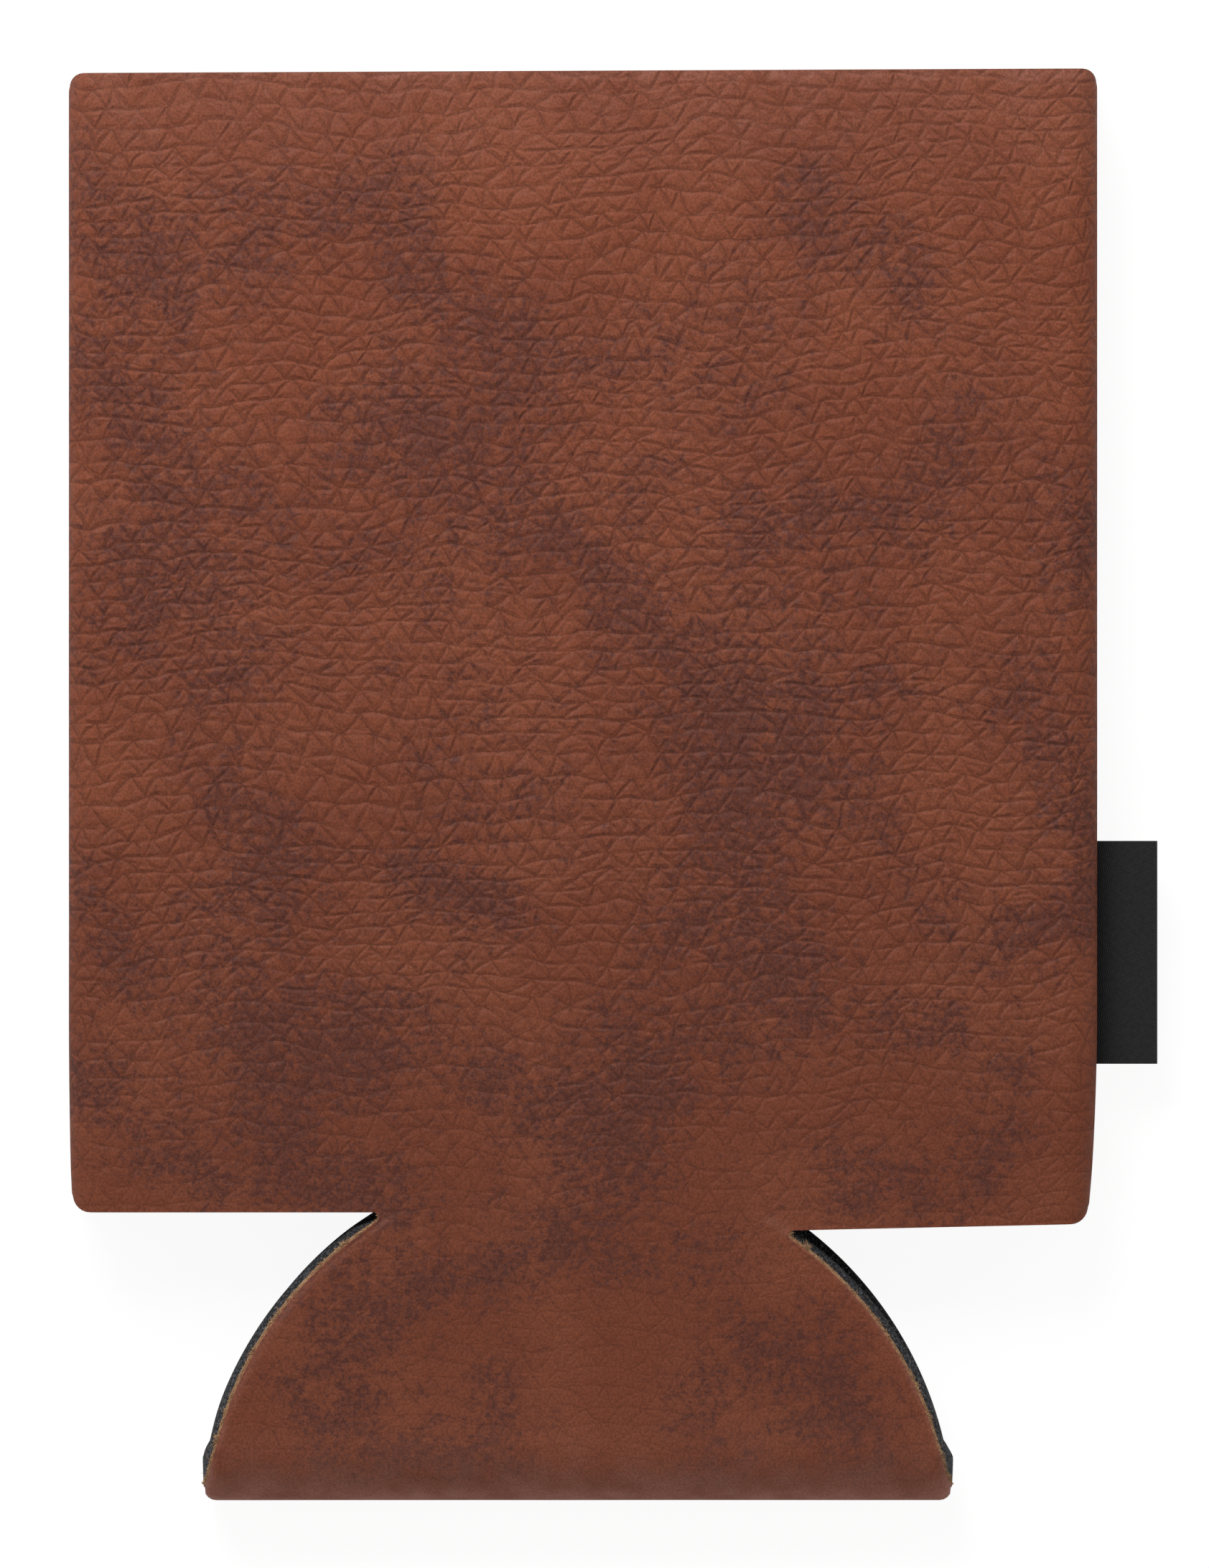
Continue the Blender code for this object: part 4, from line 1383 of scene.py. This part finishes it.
def make_lamp(scene, look):
    """A square soft lamp that shines at the middle of the sleeve."""
    data = bpy.data.lights.new("lamp", "AREA")
    data.energy = look.lamp_power
    data.size = look.lamp_size
    lamp = bpy.data.objects.new("lamp", data)
    lamp.location = LAMP_PLACE
    lamp.rotation_euler = (-lamp.location).to_track_quat("-Z", "Y").to_euler()
    scene.collection.objects.link(lamp)


def make_world(scene, look):
    """A white sweep all round, darker overhead where the camera hangs, and full white for the camera."""
    world = bpy.data.worlds.new("world")
    world.use_nodes = True
    recipe = Recipe(world.node_tree)
    background = world.node_tree.nodes["Background"]
    direction = recipe.add("ShaderNodeTexCoord").outputs["Generated"]
    light = recipe.rise(recipe.split(direction)[2], 0.10, 0.90, look.horizon, look.overhead)
    seen = recipe.add("ShaderNodeLightPath").outputs["Is Camera Ray"]
    strength = recipe.add("ShaderNodeMix", {0: seen, 2: light, 3: 1.0}).outputs[0]
    background.inputs["Color"].default_value = (1.0, 1.0, 1.0, 1.0)
    recipe.feed(background.inputs["Strength"], strength)
    scene.world = world


def make_floor(scene, look):
    """A floor that the camera sees as white, apart from the sleeve's soft shadow."""
    half = look.floor_size / 2
    mesh = bpy.data.meshes.new("floor")
    mesh.from_pydata([(-half, -half, 0.0), (half, -half, 0.0), (half, half, 0.0), (-half, half, 0.0)],
                     [], [(0, 1, 2, 3)])
    material = bpy.data.materials.new("floor")
    material.use_nodes = True
    tree = material.node_tree
    tree.nodes.clear()
    recipe = Recipe(tree)
    rays = recipe.add("ShaderNodeLightPath").outputs["Is Camera Ray"]
    plain = recipe.add("ShaderNodeBsdfDiffuse", {"Color": full(look.floor_colour)})
    faint = [1.05 - look.floor_light] * 3
    lit = recipe.add("ShaderNodeBsdfDiffuse", {"Color": full(faint)})
    glow = recipe.add("ShaderNodeEmission", {"Color": (1.0, 1.0, 1.0, 1.0), "Strength": look.floor_light})
    seen = recipe.add("ShaderNodeAddShader", {0: lit.outputs[0], 1: glow.outputs[0]})
    chosen = recipe.add("ShaderNodeMixShader", {0: rays, 1: plain.outputs[0], 2: seen.outputs[0]})
    recipe.add("ShaderNodeOutputMaterial", {"Surface": chosen.outputs[0]})
    mesh.materials.append(material)
    floor = bpy.data.objects.new("floor", mesh)
    scene.collection.objects.link(floor)


class SLEEVE_PT_finish(bpy.types.Panel):
    """Sizes, colours and steps of the can sleeve's finish"""
    bl_label = "Can Sleeve"
    bl_idname = "SLEEVE_PT_finish"
    bl_space_type = "VIEW_3D"
    bl_region_type = "UI"
    bl_category = "Can Sleeve"

    def draw(self, context):
        for operator, group in STEPS:
            box = self.layout.box()
            box.operator(operator.bl_idname)
            settings = getattr(context.scene, group)
            for name in settings.__annotations__:
                box.prop(settings, name)


GROUPS = {
    "sleeve_sizes": SleeveSizes,
    "sleeve_leather": LeatherLook,
    "sleeve_edges": EdgeLook,
    "sleeve_label": LabelLook,
    "sleeve_thread": ThreadLook,
    "sleeve_stage": StageLook,
}

STEPS = (
    (SLEEVE_OT_body, "sleeve_leather"),
    (SLEEVE_OT_fringe, "sleeve_edges"),
    (SLEEVE_OT_label, "sleeve_label"),
    (SLEEVE_OT_threads, "sleeve_thread"),
    (SLEEVE_OT_stage, "sleeve_stage"),
)


def register():
    for name, group in GROUPS.items():
        bpy.utils.register_class(group)
        setattr(bpy.types.Scene, name, PointerProperty(type=group))
    for operator, _ in STEPS:
        bpy.utils.register_class(operator)
    bpy.utils.register_class(SLEEVE_PT_finish)


def unregister():
    bpy.utils.unregister_class(SLEEVE_PT_finish)
    for operator, _ in reversed(STEPS):
        bpy.utils.unregister_class(operator)
    for name, group in reversed(GROUPS.items()):
        delattr(bpy.types.Scene, name)
        bpy.utils.unregister_class(group)


def main():
    register()
    bpy.ops.can_sleeve.stage()
    bpy.ops.can_sleeve.body()
    bpy.ops.can_sleeve.fringe()
    bpy.ops.can_sleeve.label()
    bpy.ops.can_sleeve.threads()


if __name__ == "__main__":
    main()
